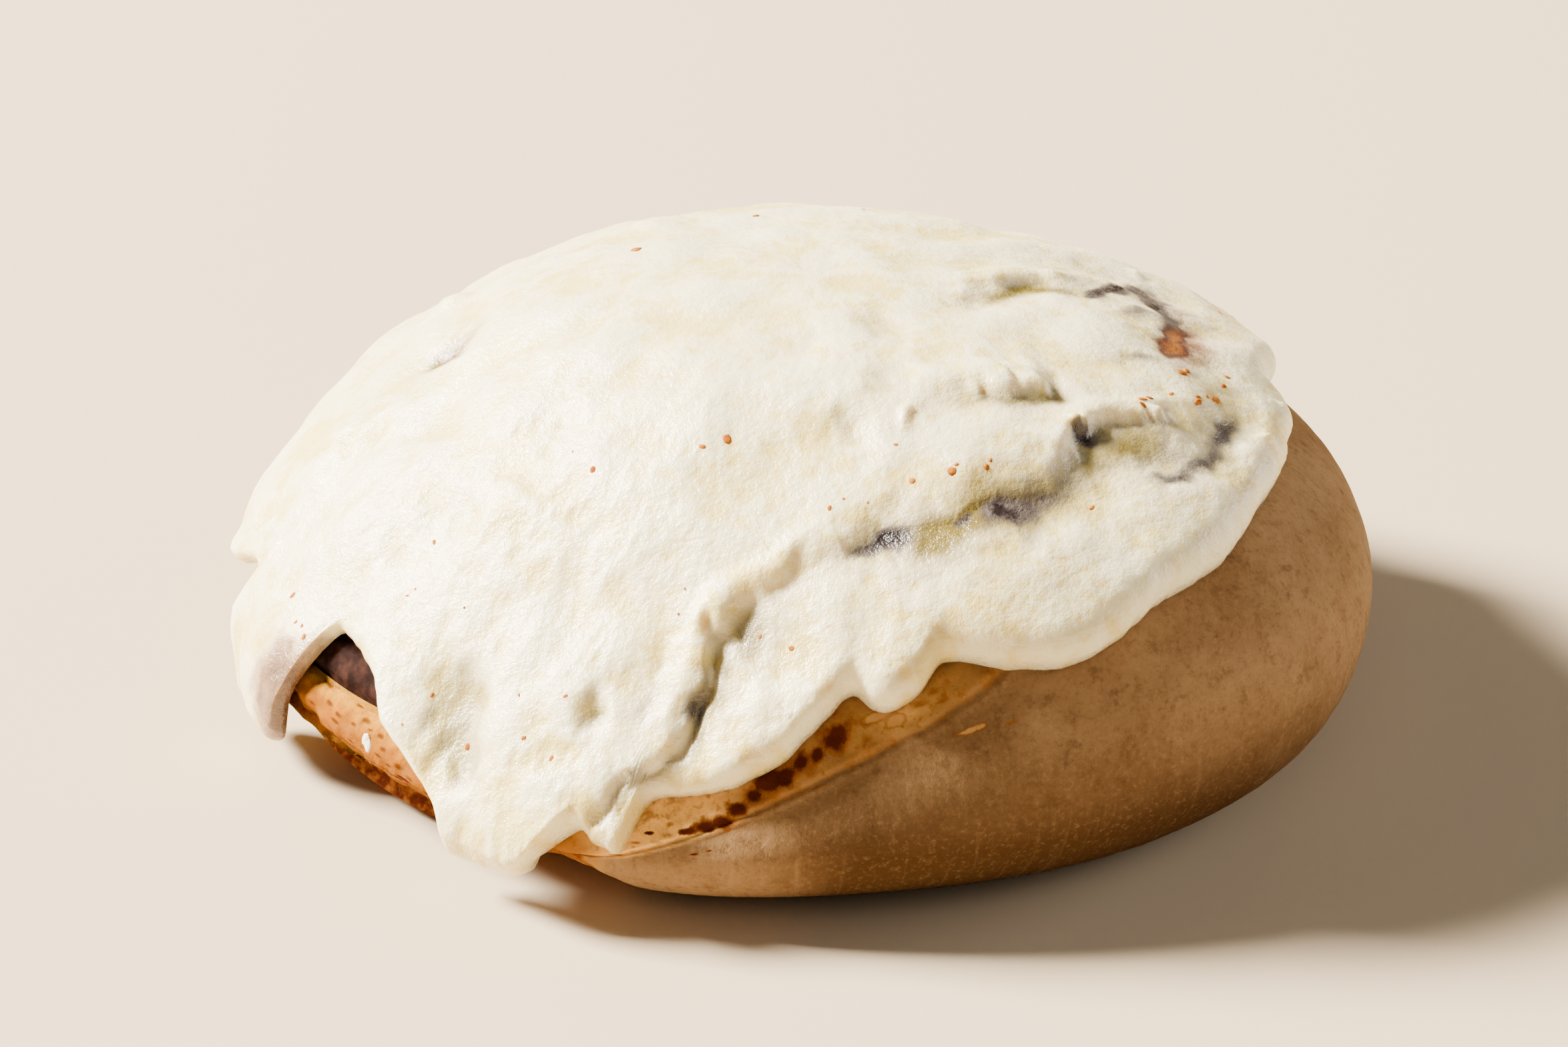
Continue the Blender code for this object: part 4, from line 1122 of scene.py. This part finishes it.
# Painted shade: a grey halo around the dark marks.
halo = icing.plus(icing.stored("looming_and_shade"), ragged, 0.3)
loom = icing.plus(icing.plus(icing.stored("looming_and_shade"), ragged), crystal_edge)
icing_color = icing.coats(
    ICING_CREAM, (icing.ramp(whiteness, 0.4, 1.05), ICING_WHITE),
    (icing.ramp(hollow, 0.05, 1.1), HOLLOW_YELLOW),
    (icing.ramp(stain_and_shade, 0.1, 1.1), STAIN_AND_SHADE_TAN), (icing.ramp(stain_and_shade, 0.9, 1.7), STAIN_AND_SHADE_BROWN),
    (icing.ramp(syrup, 0.0, 0.75), SYRUP_DARK), (icing.ramp(syrup, 0.7, 1.6), AMBER),
    (icing.ramp(halo, 0.0, 0.8), LOOM_AND_SHADE_GREY), (icing.ramp(loom, 0.7, 1.3), LOOM_DARK))
moist = icing.ramp(crystal, 0.3, 0.7, 0.42, 0.18, "LINEAR")
icing.surface(
    Base_Color=icing_color, Roughness=icing.plus(moist, icing.ramp(syrup, 0.15, 0.5, most=0.2)),
    Normal=icing.bumps((sugar, 0.09 * MM), (crystal, 0.18 * MM), (curdle, 0.20 * MM)),
    Specular_IOR_Level=0.6, Subsurface_Weight=0.6, Subsurface_Radius=(1.0, 0.8, 0.45),
    Subsurface_Scale=1.8 * MM)
print("icing finish:", len(icing.tree.nodes), "nodes")

# %% The coat of icing
UNDER_CREST = 1e-4              # a drape value so small that it counts as the crest

icing_radius, icing_height = lifted(icing_drape, icing_turn, ICING_CLEARANCE + thickness)
icing_radius[0] = 0.0
icing_height[0] = CREST_HEIGHT + ICING_CLEARANCE + crest_thickness
under_drape = reach * (1.0 - np.arange(1, UNDER_ROWS + 1) / UNDER_ROWS)[:, None]
under_radius, under_height = lifted(np.maximum(under_drape, UNDER_CREST), icing_turn[:UNDER_ROWS],
                                    ICING_CLEARANCE)
under_radius[-1] = 0.0
under_height[-1] = CREST_HEIGHT + ICING_CLEARANCE
shell_radius = np.concatenate([icing_radius, under_radius], 0)
shell_height = np.concatenate([icing_height, under_height], 0)
zones = {"hollow": hollowness, "looming_and_shade": looming_and_shade, "amber": amber, "raised": raised,
         "stained_and_shaded": stained_and_shaded}
# The underside takes the values of the edge.
zones = {label: np.concatenate([values, np.repeat(values[-1:], UNDER_ROWS, 0)], 0)
         for label, values in zones.items()}
icing_coat = make_piece("icing_coat", to_space(shell_radius, icing_direction, shell_height),
                        grid_faces(*shell_radius.shape), icing, zones)

# %% Closing the crest
form = bmesh.new()
form.from_mesh(icing_coat.data)
bmesh.ops.remove_doubles(form, verts=form.verts, dist=0.01 * MM)
bmesh.ops.recalc_face_normals(form, faces=form.faces)
form.to_mesh(icing_coat.data)
form.free()
icing_coat.data.shade_smooth()
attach(icing_coat, "root")
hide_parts("icing")
print("icing faces after welding:", len(icing_coat.data.polygons))

# %% [markdown]
# ### Specks and crumbs
#
# Flecks of cinnamon are stirred into the icing, and two crumbs of dried icing lie on the tail. Noise
# in the colour would scatter them anywhere. They are small lumps of their own instead, each pressed
# into the surface at its own place.

# %% Small lumps on a surface
LUMP_RINGS, LUMP_SIDES = 6, 8
LUMP_FLATNESS = 0.10            # half its height, as a share of its length
ROLL_MIDDLE = np.array([0.0, 0.0, 10.0 * MM])


def marked_places(surface, directions, drapes, marks, unit):
    """Each mark's place on a grid of points, the way the surface faces there, and its length."""
    found = []
    for at, down, length in marks:
        row = int(np.argmin(np.abs(directions - at)))
        column = int(np.argmin(np.abs(drapes[row] - down)))
        place = surface[row, column]
        normal = np.cross(surface[row + 1, column] - surface[row - 1, column],
                          surface[row, column + 1] - surface[row, column - 1])
        outwards = np.sign(normal @ (place - ROLL_MIDDLE))
        found.append((Vector(place), Vector(normal * outwards).normalized(), length * unit))
    return found


def lumps_on(found, seed):
    """Points and faces of flattened, uneven lumps."""
    dice = random.Random(seed)
    points, faces = [], []
    for place, normal, length in found:
        spin = Quaternion((0.0, 0.0, 1.0), dice.uniform(0.0, math.pi))
        turn = normal.to_track_quat("Z", "Y") @ spin
        width = length * dice.uniform(0.28, 0.45)
        first = len(points)
        for ring in range(LUMP_RINGS + 1):
            for side in range(LUMP_SIDES):
                around_it, down_it = 2.0 * math.pi * side / LUMP_SIDES, math.pi * ring / LUMP_RINGS
                out = math.sin(down_it) * dice.uniform(0.85, 1.15)
                local = Vector((math.cos(around_it) * out * length / 2.0,
                                math.sin(around_it) * out * width,
                                math.cos(down_it) * length * LUMP_FLATNESS))
                points.append(place + turn @ local)
        faces += [[first + corner for corner in face]
                  for face in grid_faces(LUMP_RINGS + 1, LUMP_SIDES)]
    return points, faces


print("a lump has", LUMP_RINGS * LUMP_SIDES, "faces")

# %% Cinnamon specks
CINNAMON_RED = (0.30, 0.075, 0.006)
CINNAMON_GOLD = (0.52, 0.18, 0.015)
SPECK_UNIT = 1.15 * MM
SPECK_SEED = 5
# Direction, drape value and length (in speck units).
SPECKS = [
    (-108.4, 0.205, 1.2), (-113, 0.217, 0.9), (-132.5, 0.275, 0.8), (-139, 0.267, 0.4),
    (-150.1, 0.454, 0.7), (-108.4, 0.384, 0.4), (-108.4, 0.417, 0.4), (-92.2, 0.48, 0.7),
    (-96.5, 0.452, 0.5), (-130.3, 0.713, 1), (-136.8, 0.652, 0.6), (-137.5, 0.743, 0.4),
    (-125.6, 0.58, 0.5), (-119.5, 0.558, 0.6), (-118.8, 0.671, 0.9), (-122.8, 0.649, 0.6),
    (-147.2, 0.523, 0.4), (-147.6, 0.539, 0.4), (-139, 0.5, 0.4), (154.1, 0.132, 1.3),
    (106.6, 0.156, 1), (-162, 0.709, 0.9), (-157.3, 0.728, 0.6), (-156, 0.743, 0.9),
    (-158.3, 0.738, 0.6), (-65.5, 0.311, 1.2), (-64.3, 0.309, 0.6), (-60.1, 0.323, 0.8),
    (-59, 0.318, 0.5), (-72, 0.303, 0.8), (-72.7, 0.25, 0.6), (-86.4, 0.306, 0.7), (-49.7, 0.431, 0.8),
    (-84, 0.3, 0.4), (-80, 0.31, 0.4), (-30.6, 0.335, 1.1), (-31.6, 0.342, 0.9), (-29, 0.337, 0.9),
    (-24.8, 0.353, 0.8), (-23, 0.387, 1.3), (-21.5, 0.383, 1), (-17.6, 0.406, 1.5), (-18.8, 0.399, 0.9),
    (-13, 0.408, 1), (-16.9, 0.348, 1.4), (-15.5, 0.355, 1), (-9.7, 0.412, 0.9), (-19.5, 0.392, 0.8),
    (60, 0.33, 1), (95, 0.45, 0.8), (140, 0.38, 0.9), (120, 0.25, 0.7), (20, 0.5, 0.9), (75, 0.2, 0.6)]

cinnamon = Finish("cinnamon")
rust = cinnamon.noise(1.2 * MM, detail=2.0)
rusty = cinnamon.coats(CINNAMON_RED, (cinnamon.ramp(rust, 0.35, 0.65), CINNAMON_GOLD))
cinnamon.surface(Base_Color=rusty, Normal=cinnamon.bumps((rust, 0.1 * MM)), Roughness=0.9,
                 Specular_IOR_Level=0.05)
outside = to_space(icing_radius, icing_turn, icing_height).swapaxes(0, 1)
found = marked_places(outside, icing_direction[0], icing_drape.T, SPECKS, SPECK_UNIT)
specks = make_piece("cinnamon_specks", *lumps_on(found, SPECK_SEED), cinnamon)
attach(specks, "root")

# %% Crumbs of dried icing on the crust
CRUMB_SEED = 9
# Direction, drape value and length (mm).
CRUMBS = [(-143.4, 0.862, 1.8), (-143.1, 0.876, 2.1)]

dried = Finish("dried_icing")
dried.surface(Base_Color=(0.92, 0.86, 0.76), Normal=dried.bumps((dried.noise(0.5 * MM), 0.1 * MM)),
              Roughness=0.5)
skin = to_space(strip_radius, strip_direction, strip_height)
found = marked_places(skin, TAIL_DIRECTION + turned, strip_drape, CRUMBS, MM)
crumbs = make_piece("icing_crumbs", *lumps_on(found, CRUMB_SEED), dried)
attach(crumbs, "root")
